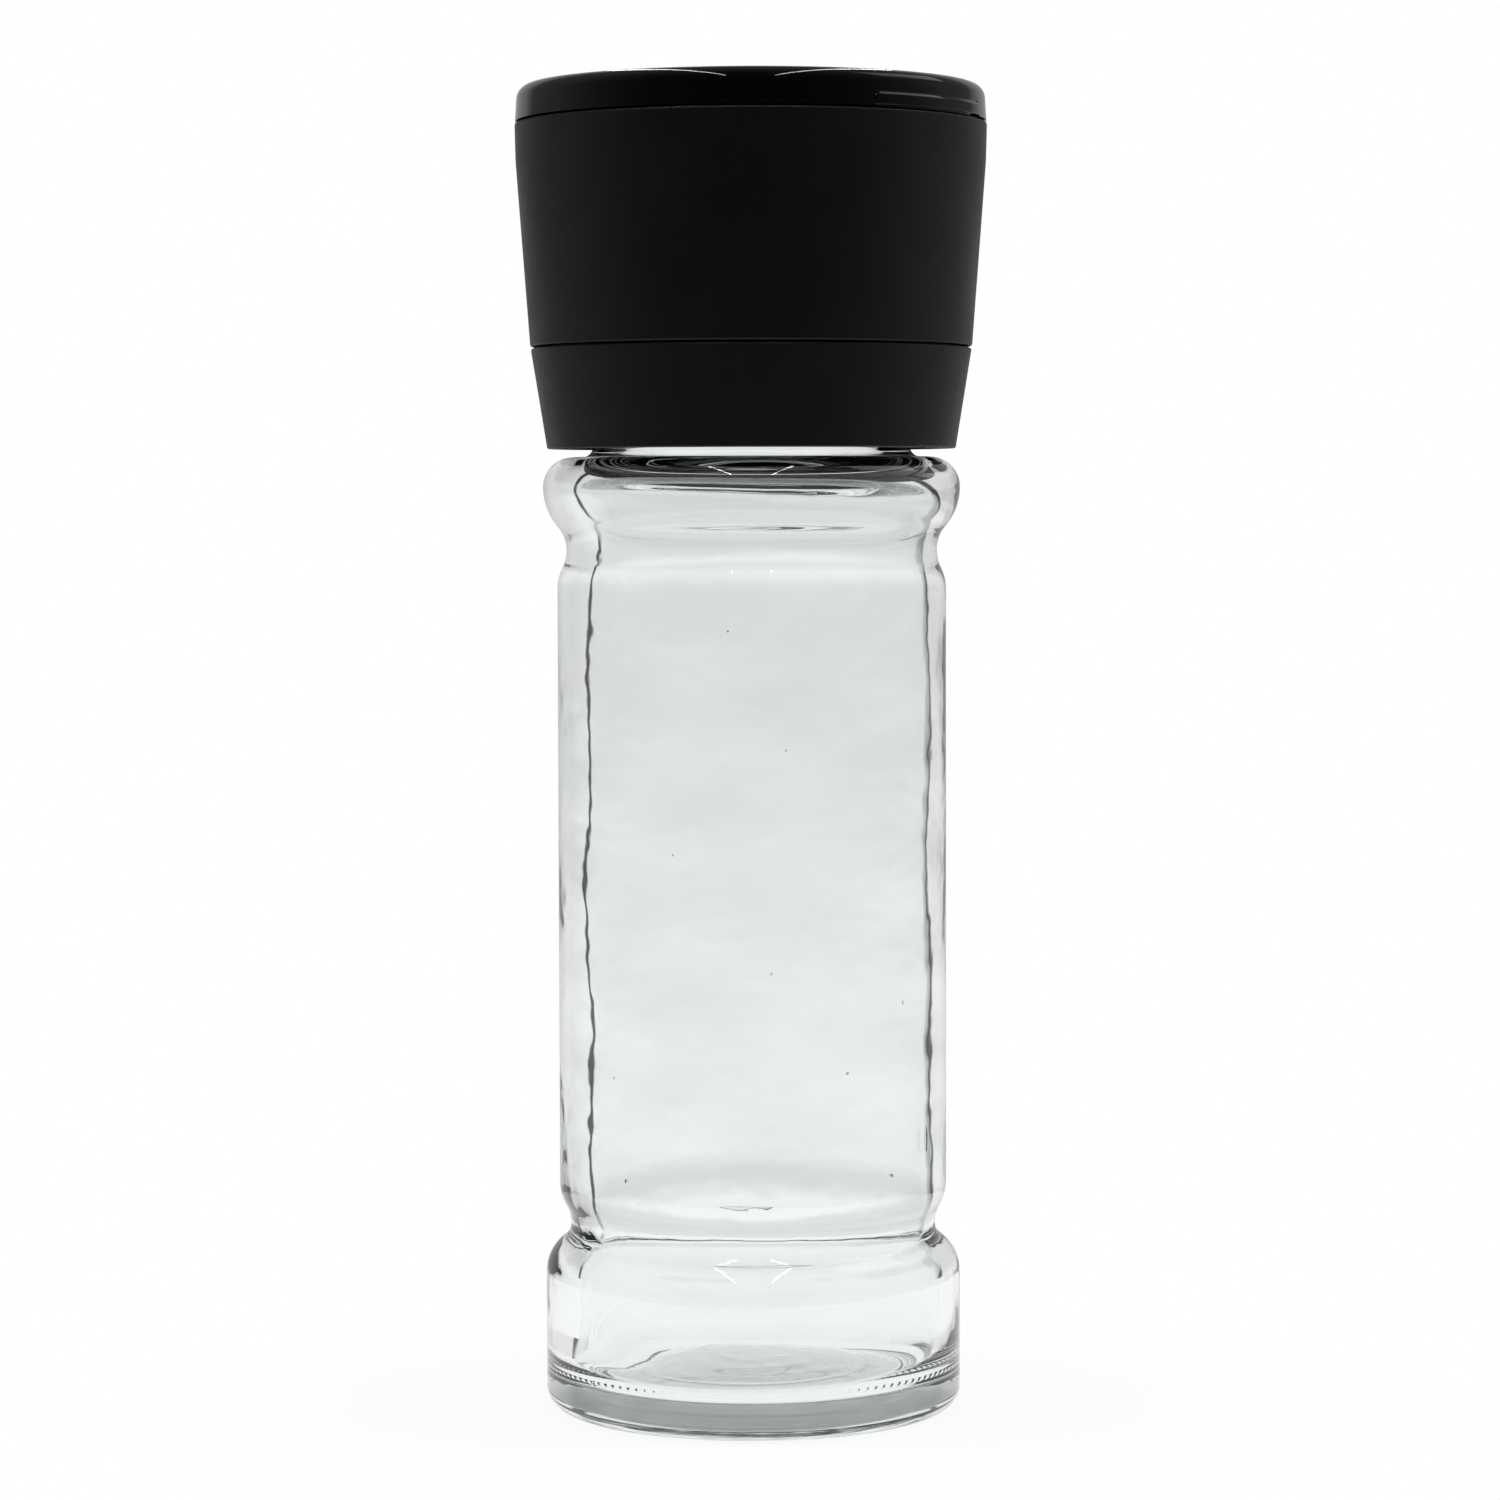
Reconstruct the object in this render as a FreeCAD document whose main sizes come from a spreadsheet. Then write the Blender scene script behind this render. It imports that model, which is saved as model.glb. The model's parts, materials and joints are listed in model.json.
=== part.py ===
import FreeCAD, Part
import Sketcher
import math
import os
import re

# A clear glass spice jar with a grinder head: a collar screws onto the glass neck, a barrel turns
# round the collar and carries the outer burr, and a flip lid closes the outlet.
# The origin is the middle of the jar's standing ring, +Z is up, and lengths are in millimetres.

doc = FreeCAD.newDocument("spice_grinder_jar")
sheet = doc.addObject("Spreadsheet::Sheet", "Sizes")

SIZES = {
    # glass jar, outside, from the standing ring up
    "band_radius": 23.05,
    "heel_round": 2.6,
    "bearing_width": 1.6,
    "punt_rise": 2.6,
    "punt_edge": 0.7,
    "punt_slope": 2.2,
    "band_height": 15.2,
    "low_groove_depth": 1.25,
    "low_groove_drop": 5.4,
    "low_groove_rise": 4.8,
    "body_radius": 21.5,
    "body_height": 65.8,
    "high_groove_depth": 1.02,
    "high_groove_drop": 4.3,
    "shoulder_rise": 6.9,
    "shoulder_round": 3.3,
    "neck_step": 2.25,
    "neck_wall": 3.2,
    "neck_height": 10.4,
    "neck_foot_round": 1.2,
    "lip_round": 0.8,
    # glass jar, inside
    "mouth_radius": 14.3,
    "mouth_length": 10.6,
    "mouth_round": 2.1,
    "jar_wall": 2.85,
    "low_groove_ease": 0.7,
    "high_groove_ease": 0.4,
    "shoulder_wall": 3.1,
    "ceiling_round": 1.4,
    "floor_thickness": 3.8,
    "floor_edge_thickness": 2.9,
    "floor_round": 3.5,
    # where each S-curve of the glass turns over, as a share of its run
    "band_curve_share": 0.69,
    "low_curve_share": 0.45,
    "high_curve_share": 0.5,
    "shoulder_curve_share": 0.36,
    # seal on the lip
    "seal_thickness": 1.0,
    "seal_inset": 0.3,
    # collar
    "shoulder_gap": 0.9,
    "collar_wall": 1.6,
    "collar_space": 0.7,
    "collar_flare": 1.7,
    "collar_rim_rise": 0.55,
    "edge_round": 0.25,
    "deck_thickness": 1.5,
    "thread_depth": 1.1,
    "thread_clearance": 0.2,
    "skirt_wall": 1.5,
    "skirt_lift": 0.8,
    "throat_radius": 12.6,
    "tube_wall": 1.6,
    "tube_height": 6.8,
    "bead_height": 1.0,
    "bead_reach": 0.5,
    # spindle bracket
    "ledge_width": 2.6,
    "ring_overhang": 0.4,
    "ring_thickness": 1.6,
    "bracket_clearance": 0.2,
    "hub_radius": 4.8,
    "hub_height": 3.0,
    "arm_width": 2.4,
    "arm_count": 3,
    "peg_radius": 0.8,
    "peg_length": 1.2,
    "peg_clearance": 0.05,
    # spindle
    "spindle_width": 4.0,
    "spindle_fit": 0.03,
    "spindle_flange": 1.2,
    "flange_thickness": 0.7,
    "stud_radius": 1.6,
    "stud_length": 4.6,
    "square_drop": 0.6,
    # burr spring
    "spring_wire": 0.7,
    "spring_turns": 4,
    "spring_clearance": 0.4,
    "spring_seat_gap": 0.05,
    # grinding burrs
    "burr_height": 10.0,
    "burr_step": 0.2,
    "burr_fit": 0.15,
    "inlet_wall": 1.8,
    "grind_radius": 12.6,
    "grind_height": 4.5,
    "grind_gap": 0.45,
    "waist_radius": 10.4,
    "cone_overhang": 1.2,
    "bore_clearance": 0.15,
    "tip_wall": 2.0,
    "spring_pocket": 2.2,
    "coarse_teeth": 10,
    "coarse_depth": 1.2,
    "coarse_runout_share": 0.4,
    "coarse_half_angle": 11.0,
    "coarse_twist": 24.0,
    "fine_teeth": 36,
    "fine_depth": 0.55,
    "fine_half_angle": 3.6,
    "cone_fine_half_angle": 5.76,
    "fine_twist": 6.0,
    "key_count": 4,
    "key_width": 2.0,
    "key_height": 0.8,
    "key_length": 4.0,
    "key_clearance": 0.1,
    "retainer_gap": 0.5,
    "retainer_thickness": 1.2,
    "retainer_fit": 0.05,
    "retainer_notches": 6,
    "notch_radius": 0.7,
    # adjusting knob
    "knob_radius": 6.0,
    "knob_height": 5.4,
    "knob_gap": 0.05,
    "knob_round": 0.6,
    "knob_bore_clearance": 0.1,
    "knob_bore_depth": 4.7,
    "flute_count": 14,
    "flute_radius": 0.8,
    "flute_sink": 0.25,
    "slot_width": 1.1,
    "slot_depth": 0.8,
    # barrel
    "barrel_gap": 0.2,
    "barrel_height": 24.45,
    "barrel_step": 0.1,
    "barrel_flare": 1.5,
    "barrel_rim_flare": 0.1,
    "rim_band": 4.2,
    "barrel_wall": 1.8,
    "barrel_deck": 1.5,
    "lip_clearance": 0.3,
    "well_wall": 1.6,
    "outlet_margin": 0.8,
    "outlet_flange": 1.5,
    "snap_clearance": 0.3,
    "snap_gap": 0.2,
    "tube_foot_gap": 0.4,
    # lid
    "lid_gap": 0.2,
    "lid_height": 4.0,
    "lid_step": 0.05,
    "lid_draft": 0.15,
    "lid_round": 1.6,
    "lid_roof": 1.4,
    "lid_wall": 2.0,
    "plug_clearance": 0.3,
    "plug_wall": 1.2,
    "plug_depth": 1.8,
    "thumb_angle": 41.0,
    "thumb_height": 1.35,
    "thumb_depth": 0.6,
    "thumb_round": 0.7,
    "thumb_edge_round": 0.4,
    # lid hinge
    "hinge_inset": 2.1,
    "hinge_lift": 1.9,
    "hinge_flat": 1.3,
    "hinge_block_front": 1.7,
    "hinge_block_half": 8.4,
    "relief_half": 12.0,
    "ear_inner": 4.2,
    "ear_thickness": 2.0,
    "ear_radius": 1.2,
    "ear_hole_radius": 0.78,
    "pin_radius": 0.72,
    "ear_clearance": 0.2,
    # how far cutting shapes reach past what they cut, and rooted shapes into what carries them
    "overrun": 1.0,
}

# Radii and heights that follow from the sizes.
DERIVED = {
    # glass jar
    "bearing_outer": "band_radius - heel_round",
    "bearing_inner": "bearing_outer - bearing_width",
    "punt_radius": "bearing_inner - punt_slope",
    "low_groove_radius": "body_radius - low_groove_depth",
    "high_groove_radius": "body_radius - high_groove_depth",
    "low_groove_level": "band_height + low_groove_drop",
    "body_start": "low_groove_level + low_groove_rise",
    "body_end": "body_start + body_height",
    "high_groove_level": "body_end + high_groove_drop",
    "shoulder_level": "high_groove_level + shoulder_rise",
    "shoulder_top": "shoulder_level + shoulder_round",
    "neck_radius": "mouth_radius + neck_wall",
    "shoulder_flat": "neck_radius + neck_step",
    "shoulder_radius": "shoulder_flat + shoulder_round",
    "neck_top": "shoulder_top + neck_height",
    "mouth_start": "neck_top - mouth_length",
    "inner_band": "band_radius - jar_wall",
    "inner_low_groove": "low_groove_radius - jar_wall + low_groove_ease",
    "inner_body": "body_radius - jar_wall",
    "inner_high_groove": "high_groove_radius - jar_wall + high_groove_ease",
    "inner_shoulder": "shoulder_radius - shoulder_wall",
    "ceiling": "mouth_start - mouth_round",
    "inner_shoulder_level": "ceiling - ceiling_round",
    "floor_top": "punt_rise + floor_thickness",
    "floor_edge": "punt_edge + floor_edge_thickness",
    # collar
    "deck_under": "neck_top + seal_thickness",
    "deck_top": "deck_under + deck_thickness",
    "collar_foot": "shoulder_top + shoulder_gap",
    "collar_rim": "deck_under + collar_rim_rise",
    "rim_under": "collar_rim - collar_wall",
    "skirt_inner": "neck_radius + thread_depth + thread_clearance",
    "skirt_outer": "skirt_inner + skirt_wall",
    "collar_foot_radius": "skirt_outer + collar_space + collar_wall",
    "collar_rim_radius": "collar_foot_radius + collar_flare",
    "bracket_radius": "throat_radius + ledge_width",
    "tube_inner": "bracket_radius + bracket_clearance",
    "tube_outer": "tube_inner + tube_wall",
    "tube_top": "deck_top + tube_height",
    "bead_top": "tube_top - bead_height",
    "bead_low": "bead_top - bead_height",
    "peg_circle": "(throat_radius + bracket_radius) / 2",
    "hub_top": "deck_top + hub_height",
    # burrs, spindle, spring and knob
    "retainer_low": "tube_top + retainer_gap",
    "burr_low": "retainer_low + retainer_thickness",
    "burr_top": "burr_low + burr_height",
    "waist_level": "burr_top - grind_height",
    "cone_low": "burr_low - cone_overhang",
    "outer_burr_radius": "tube_outer - burr_step",
    "inlet_radius": "outer_burr_radius - inlet_wall",
    "spring_radius": "spindle_width * sqrt(0.5) + spring_wire / 2 + spring_clearance",
    "pocket_radius": "spring_radius + spring_wire / 2 + spring_clearance",
    "pocket_top": "cone_low + spring_pocket",
    "tip_radius": "pocket_radius + tip_wall",
    "square_top": "burr_top - square_drop",
    "knob_low": "burr_top + knob_gap",
    "knob_top": "knob_low + knob_height",
    # barrel
    "barrel_foot": "collar_rim + barrel_gap",
    "barrel_top": "barrel_foot + barrel_height",
    "barrel_foot_radius": "collar_rim_radius + barrel_step",
    "barrel_band_radius": "barrel_foot_radius + barrel_flare",
    "barrel_rim_radius": "barrel_band_radius + barrel_rim_flare",
    "band_low": "barrel_top - rim_band",
    "barrel_deck_under": "barrel_top - barrel_deck",
    "collar_lip_radius": "barrel_foot_radius - barrel_wall - lip_clearance",
    "well_radius": "outer_burr_radius + burr_fit",
    "well_outer": "well_radius + well_wall",
    "outlet_radius": "grind_radius + grind_gap + outlet_margin",
    "flange_top": "burr_top + outlet_flange",
    "socket_radius": "tube_outer + bead_reach + snap_clearance",
    "socket_outer": "socket_radius + well_wall",
    "socket_top": "tube_top + snap_clearance",
    "snap_radius": "tube_outer + snap_gap",
    "snap_top": "bead_low - snap_clearance",
    "snap_low": "snap_top - bead_height",
    "tube_foot": "deck_top + tube_foot_gap",
    # lid and its hinge
    "lid_bottom": "barrel_top + lid_gap",
    "lid_top": "lid_bottom + lid_height",
    "lid_radius": "barrel_rim_radius - lid_step",
    "lid_top_radius": "lid_radius - lid_draft",
    "lid_inner": "lid_radius - lid_wall",
    "roof_under": "lid_top - lid_roof",
    "plug_outer": "well_radius - plug_clearance",
    "plug_inner": "plug_outer - plug_wall",
    "plug_foot": "barrel_top - plug_depth",
    "hinge_across": "barrel_rim_radius - hinge_inset",
    "hinge_level": "barrel_top + hinge_lift",
    "hinge_back": "hinge_across + hinge_flat",
    "hinge_round": "hinge_level - lid_bottom",
    "ear_space": "ear_radius + ear_clearance",
}

for row, (alias, number) in enumerate(SIZES.items(), start=1):
    sheet.set(f"A{row}", alias)
    sheet.set(f"B{row}", str(number))
    sheet.setAlias(f"B{row}", alias)
doc.recompute()

WORD = re.compile(r"[a-z][a-z_]*")


def bound(expression):
    """The expression with derived names written out and sizes read from the sheet."""

    def swap(match):
        word = match.group(0)
        if word in DERIVED:
            return f"({bound(DERIVED[word])})"
        if word in SIZES:
            return f"Sizes.{word}"
        return word

    return WORD.sub(swap, expression)


def value(expression):
    """What the expression comes to now, as a plain number."""
    result = sheet.evalExpression(bound(expression))
    return float(getattr(result, "Value", result))


def origin_item(body, role):
    return next(item for item in body.Origin.OriginFeatures if item.Role == role)


def new_body(label):
    body = doc.addObject("PartDesign::Body", label)
    body.Label = label
    return body


def new_sketch(body, name, plane, lift="0"):
    """A sketch on one of the body's own planes, moved along that plane's normal by lift."""
    sketch = body.newObject("Sketcher::SketchObject", f"{body.Label}_{name}")
    sketch.AttachmentSupport = [(origin_item(body, plane), "")]
    sketch.MapMode = "FlatFace"
    if lift != "0":
        sketch.setExpression("AttachmentOffset.Base.z", bound(lift))
    return sketch


def bind(sketch, kind, geometry, point, expression):
    """Hold one coordinate of a point at an expression; a zero one lies on the sketch's own axis."""
    if expression == "0":
        axis = -2 if kind == "DistanceX" else -1
        sketch.addConstraint(Sketcher.Constraint("PointOnObject", geometry, point, axis))
        return
    row = sketch.addConstraint(Sketcher.Constraint(kind, -1, 1, geometry, point, value(expression)))
    sketch.setExpression(f"Constraints[{row}]", bound(expression))


def arc_centre(start, end, held, at):
    """Centre of the arc from start to end when one of the centre's coordinates is known."""
    middle = ((start[0] + end[0]) / 2, (start[1] + end[1]) / 2)
    run = (end[0] - start[0], end[1] - start[1])
    if held == "across":
        return at, middle[1] - (at - middle[0]) * run[0] / run[1]
    return middle[0] - (at - middle[1]) * run[1] / run[0], at


def outline(sketch, corners):
    """A closed outline through corners. A corner is (across, up), reached by a straight line, or
    (across, up, held, at), reached by an arc whose centre has its across or up coordinate at at."""
    points = [(value(corner[0]), value(corner[1])) for corner in corners]
    ends = []
    for index, corner in enumerate(corners):
        start = points[index - 1]
        end = points[index]
        if len(corner) == 2:
            line = Part.LineSegment(FreeCAD.Vector(*start, 0), FreeCAD.Vector(*end, 0))
            ends.append((sketch.addGeometry(line, False), 1, 2))
            continue
        centre = arc_centre(start, end, corner[2], value(corner[3]))
        angles = [math.atan2(point[1] - centre[1], point[0] - centre[0]) for point in (start, end)]
        turns_left = math.sin(angles[1] - angles[0]) > 0
        circle = Part.Circle(FreeCAD.Vector(*centre, 0), FreeCAD.Vector(0, 0, 1), math.dist(start, centre))
        arc = Part.ArcOfCircle(circle, *(angles if turns_left else reversed(angles)))
        ends.append((sketch.addGeometry(arc, False), *((1, 2) if turns_left else (2, 1))))
    for index, (edge, _, last) in enumerate(ends):
        following, first, _ = ends[(index + 1) % len(ends)]
        sketch.addConstraint(Sketcher.Constraint("Coincident", edge, last, following, first))
    for (edge, _, last), corner in zip(ends, corners):
        bind(sketch, "DistanceX", edge, last, corner[0])
        bind(sketch, "DistanceY", edge, last, corner[1])
        if len(corner) > 2:
            bind(sketch, "DistanceX" if corner[2] == "across" else "DistanceY", edge, 3, corner[3])
    return sketch


def circle(sketch, across, up, radius):
    """A circle with its centre and radius held at expressions."""
    centre = FreeCAD.Vector(value(across), value(up), 0)
    shape = Part.Circle(centre, FreeCAD.Vector(0, 0, 1), value(radius))
    geometry = sketch.addGeometry(shape, False)
    bind(sketch, "DistanceX", geometry, 3, across)
    bind(sketch, "DistanceY", geometry, 3, up)
    row = sketch.addConstraint(Sketcher.Constraint("Radius", geometry, value(radius)))
    sketch.setExpression(f"Constraints[{row}]", bound(radius))
    return sketch


def rectangle(sketch, left, low, right, high):
    return outline(sketch, [(left, low), (right, low), (right, high), (left, high)])


def feature(body, kind, name, sketch):
    made = body.newObject(f"PartDesign::{kind}", f"{body.Label}_{name}")
    made.Profile = sketch
    body.Tip = made
    return made


def revolve(body, name, corners):
    """A turned form: a half section on the XZ plane, spun round the vertical axis."""
    sketch = outline(new_sketch(body, f"{name}_section", "XZ_Plane"), corners)
    turned = feature(body, "Revolution", name, sketch)
    turned.ReferenceAxis = (sketch, ["V_Axis"])
    turned.Angle = 360
    return turned


def extrude(body, kind, name, sketch, length, side="One side", flip=False):
    """A Pad or a Pocket of a sketch, as long as an expression."""
    made = feature(body, kind, name, sketch)
    made.SideType = side
    made.Reversed = flip
    made.setExpression("Length", bound(length))
    return made


def loft_cut(body, name, sections):
    """A straight-sided cut through a row of sections."""
    cut = feature(body, "SubtractiveLoft", name, sections[0])
    cut.Sections = sections[1:]
    cut.Ruled = True
    return cut


def round_copies(body, name, original, count):
    """Copies of a feature spread evenly round the vertical axis."""
    pattern = body.newObject("PartDesign::PolarPattern", f"{body.Label}_{name}")
    pattern.Originals = [original]
    pattern.Axis = (origin_item(body, "Z_Axis"), [""])
    pattern.Angle = 360
    pattern.setExpression("Occurrences", bound(count))
    body.Tip = pattern
    return pattern


def mirror_left_right(body, name, original):
    mirrored = body.newObject("PartDesign::Mirrored", f"{body.Label}_{name}")
    mirrored.Originals = [original]
    mirrored.MirrorPlane = (origin_item(body, "YZ_Plane"), [""])
    body.Tip = mirrored
    return mirrored


def s_curve(start, end, share):
    """Two arcs that leave start upright, meet at a share of the way and reach end upright."""
    across = f"({start[0]}) + (({end[0]}) - ({start[0]})) * {share}"
    up = f"({start[1]}) + (({end[1]}) - ({start[1]})) * {share}"
    return [(across, up, "up", start[1]), (end[0], end[1], "up", end[1])]


def wedge(body, name, level, mouth, root, angle, half_angle):
    """A triangle across a tooth gap: its point at the root radius, its open side at the mouth radius."""
    sketch = new_sketch(body, name, "XY_Plane", level)
    corners = []
    for radius, side in ((root, "0"), (mouth, half_angle), (mouth, f"-({half_angle})")):
        turn = f"({angle} + {side}) * 1 deg"
        corners.append((f"({radius}) * cos({turn})", f"({radius}) * sin({turn})"))
    return outline(sketch, corners)


def make_glass_jar():
    body = new_body("glass_jar")
    band = ("band_radius", "band_height")
    low_groove = ("low_groove_radius", "low_groove_level")
    body_foot = ("body_radius", "body_start")
    body_head = ("body_radius", "body_end")
    high_groove = ("high_groove_radius", "high_groove_level")
    shoulder = ("shoulder_radius", "shoulder_level")
    mouth = ("mouth_radius", "mouth_start")
    inner_shoulder = ("inner_shoulder", "inner_shoulder_level")
    inner_high = ("inner_high_groove", "high_groove_level")
    inner_head = ("inner_body", "body_end")
    inner_foot = ("inner_body", "body_start")
    inner_low = ("inner_low_groove", "low_groove_level")
    inner_band = ("inner_band", "band_height")
    lip_level = "neck_top - lip_round"
    corner_level = "floor_edge + floor_round"
    outside = [
        ("0", "punt_rise"),
        ("punt_radius", "punt_edge", "across", "0"),
        ("bearing_inner", "0"),
        ("bearing_outer", "0"),
        ("band_radius", "heel_round", "up", "heel_round"),
        band,
        *s_curve(band, low_groove, "band_curve_share"),
        *s_curve(low_groove, body_foot, "low_curve_share"),
        body_head,
        *s_curve(body_head, high_groove, "high_curve_share"),
        *s_curve(high_groove, shoulder, "shoulder_curve_share"),
        ("shoulder_flat", "shoulder_top", "up", "shoulder_level"),
        ("neck_radius + neck_foot_round", "shoulder_top"),
        ("neck_radius", "shoulder_top + neck_foot_round", "up", "shoulder_top + neck_foot_round"),
    ]
    lip = [
        ("neck_radius", lip_level),
        ("neck_radius - lip_round", "neck_top", "up", lip_level),
        ("mouth_radius + lip_round", "neck_top"),
        ("mouth_radius", lip_level, "up", lip_level),
    ]
    inside = [
        mouth,
        ("mouth_radius + mouth_round", "ceiling", "up", "mouth_start"),
        ("inner_shoulder - ceiling_round", "ceiling"),
        ("inner_shoulder", "inner_shoulder_level", "up", "inner_shoulder_level"),
        *s_curve(inner_shoulder, inner_high, "shoulder_curve_share"),
        *s_curve(inner_high, inner_head, "high_curve_share"),
        inner_foot,
        *s_curve(inner_foot, inner_low, "low_curve_share"),
        *s_curve(inner_low, inner_band, "band_curve_share"),
        ("inner_band", corner_level),
        ("inner_band - floor_round", "floor_edge", "up", corner_level),
        ("0", "floor_top", "across", "0"),
    ]
    revolve(body, "blown_glass", outside + lip + inside)
    return body


def make_neck_seal():
    body = new_body("neck_seal")
    sketch = new_sketch(body, "ring_section", "XY_Plane", "neck_top")
    circle(sketch, "0", "0", "neck_radius - seal_inset")
    circle(sketch, "0", "0", "mouth_radius + seal_inset")
    extrude(body, "Pad", "ring", sketch, "seal_thickness")
    return body


def make_collar():
    body = new_body("collar")
    revolve(body, "moulding", [
        ("throat_radius", "deck_under"),
        ("skirt_inner", "deck_under"),
        ("skirt_inner", "collar_foot + skirt_lift"),
        ("skirt_outer", "collar_foot + skirt_lift"),
        ("skirt_outer", "rim_under"),
        ("collar_rim_radius - collar_wall", "rim_under"),
        ("collar_foot_radius - collar_wall", "collar_foot"),
        ("collar_foot_radius - edge_round", "collar_foot"),
        ("collar_foot_radius", "collar_foot + edge_round", "up", "collar_foot + edge_round"),
        ("collar_rim_radius", "collar_rim - edge_round"),
        ("collar_rim_radius - edge_round", "collar_rim", "up", "collar_rim - edge_round"),
        ("collar_lip_radius", "collar_rim"),
        ("collar_lip_radius", "deck_top"),
        ("tube_outer", "deck_top"),
        ("tube_outer", "bead_low"),
        ("tube_outer + bead_reach", "bead_low"),
        ("tube_outer + bead_reach", "bead_top"),
        ("tube_outer", "tube_top"),
        ("tube_inner", "tube_top"),
        ("tube_inner", "deck_top"),
        ("throat_radius", "deck_top"),
    ])
    holes = new_sketch(body, "peg_hole_circle", "XY_Plane", "deck_top + overrun")
    circle(holes, "peg_circle", "0", "peg_radius + peg_clearance")
    hole = extrude(body, "Pocket", "peg_hole", holes, "deck_thickness + 2 * overrun")
    round_copies(body, "peg_holes", hole, "arm_count")
    return body


def make_spindle_bracket():
    body = new_body("spindle_bracket")
    ring = new_sketch(body, "ring_section", "XY_Plane", "deck_top")
    circle(ring, "0", "0", "bracket_radius")
    circle(ring, "0", "0", "throat_radius - ring_overhang")
    extrude(body, "Pad", "ring", ring, "ring_thickness")
    arm_end = "throat_radius"
    half = "arm_width / 2"
    arm_section = new_sketch(body, "arm_section", "XY_Plane", "deck_top")
    rectangle(arm_section, "0", f"-{half}", arm_end, half)
    arm = extrude(body, "Pad", "arm", arm_section, "ring_thickness")
    round_copies(body, "arms", arm, "arm_count")
    hub = circle(new_sketch(body, "hub_section", "XY_Plane", "deck_top"), "0", "0", "hub_radius")
    extrude(body, "Pad", "hub", hub, "hub_height")
    peg_section = new_sketch(body, "peg_section", "XY_Plane", "deck_top - peg_length")
    circle(peg_section, "peg_circle", "0", "peg_radius")
    peg = extrude(body, "Pad", "peg", peg_section, "peg_length + ring_thickness / 2")
    round_copies(body, "pegs", peg, "arm_count")
    reach = "spindle_width / 2 + spindle_fit"
    socket = new_sketch(body, "socket_section", "XY_Plane", "hub_top + overrun")
    rectangle(socket, f"-({reach})", f"-({reach})", reach, reach)
    extrude(body, "Pocket", "socket", socket, "hub_height + 2 * overrun")
    return body


def make_spindle():
    body = new_body("spindle")
    flange = new_sketch(body, "flange_section", "XY_Plane", "deck_top - flange_thickness")
    circle(flange, "0", "0", "spindle_width * sqrt(0.5) + spindle_flange")
    extrude(body, "Pad", "flange", flange, "flange_thickness")
    half = "spindle_width / 2"
    square = new_sketch(body, "square_section", "XY_Plane", "deck_top")
    rectangle(square, f"-({half})", f"-({half})", half, half)
    extrude(body, "Pad", "square", square, "square_top - deck_top")
    stud = circle(new_sketch(body, "stud_section", "XY_Plane", "square_top"), "0", "0", "stud_radius")
    extrude(body, "Pad", "stud", stud, "stud_length")
    return body


def biarc(start, start_way, end, end_way):
    """Two arcs that touch each other and run along the given unit directions at both ends."""
    span = end - start
    ways = start_way + end_way
    bend = 2 * (1 - start_way.dot(end_way))
    along = span.dot(ways)
    reach = (math.sqrt(along * along + bend * span.dot(span)) - along) / bend
    corners = (start + start_way * reach, end - end_way * reach)
    joint = (corners[0] + corners[1]) * 0.5
    edges = []
    for first, corner, last in ((start, corners[0], joint), (joint, corners[1], end)):
        middle = (first + last) * 0.5
        half = (last - first).Length / 2
        sag = half * math.tan(math.acos(half / (corner - first).Length) / 2)
        crown = middle + (corner - middle).normalize() * sag
        edges.append(Part.Arc(first, crown, last).toShape())
    return edges


def make_burr_spring():
    """An open compression spring round the spindle, from the bracket's hub to the inner burr."""
    wire = value("spring_wire / 2")
    radius = value("spring_radius")
    low = value("hub_top + spring_seat_gap") + wire
    high = value("pocket_top - spring_seat_gap") - wire
    turns = value("spring_turns")
    climb = (high - low) / (2 * math.pi * turns)

    def place(angle):
        return FreeCAD.Vector(radius * math.cos(angle), radius * math.sin(angle), low + climb * angle)

    def way(angle):
        return FreeCAD.Vector(-radius * math.sin(angle), radius * math.cos(angle), climb).normalize()

    quarter = math.pi / 2
    stops = [quarter * index for index in range(round(4 * turns) + 1)]
    edges = []
    for first, last in zip(stops, stops[1:]):
        edges += biarc(place(first), way(first), place(last), way(last))
    path = Part.Wire(edges)
    section = Part.Wire(Part.makeCircle(wire, place(0), way(0)))
    shell = Part.BRepOffsetAPI.MakePipeShell(path)
    shell.add(section)
    shell.build()
    shell.makeSolid()
    spring = doc.addObject("Part::Feature", "burr_spring")
    spring.Label = "burr_spring"
    spring.Shape = shell.shape()
    spring.Placement = FreeCAD.Placement()
    gap = 2 * math.pi * climb * math.cos(math.atan(climb / radius)) - 2 * wire
    print(f"burr_spring: least gap between turns {gap:.2f} mm")
    return spring


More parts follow.
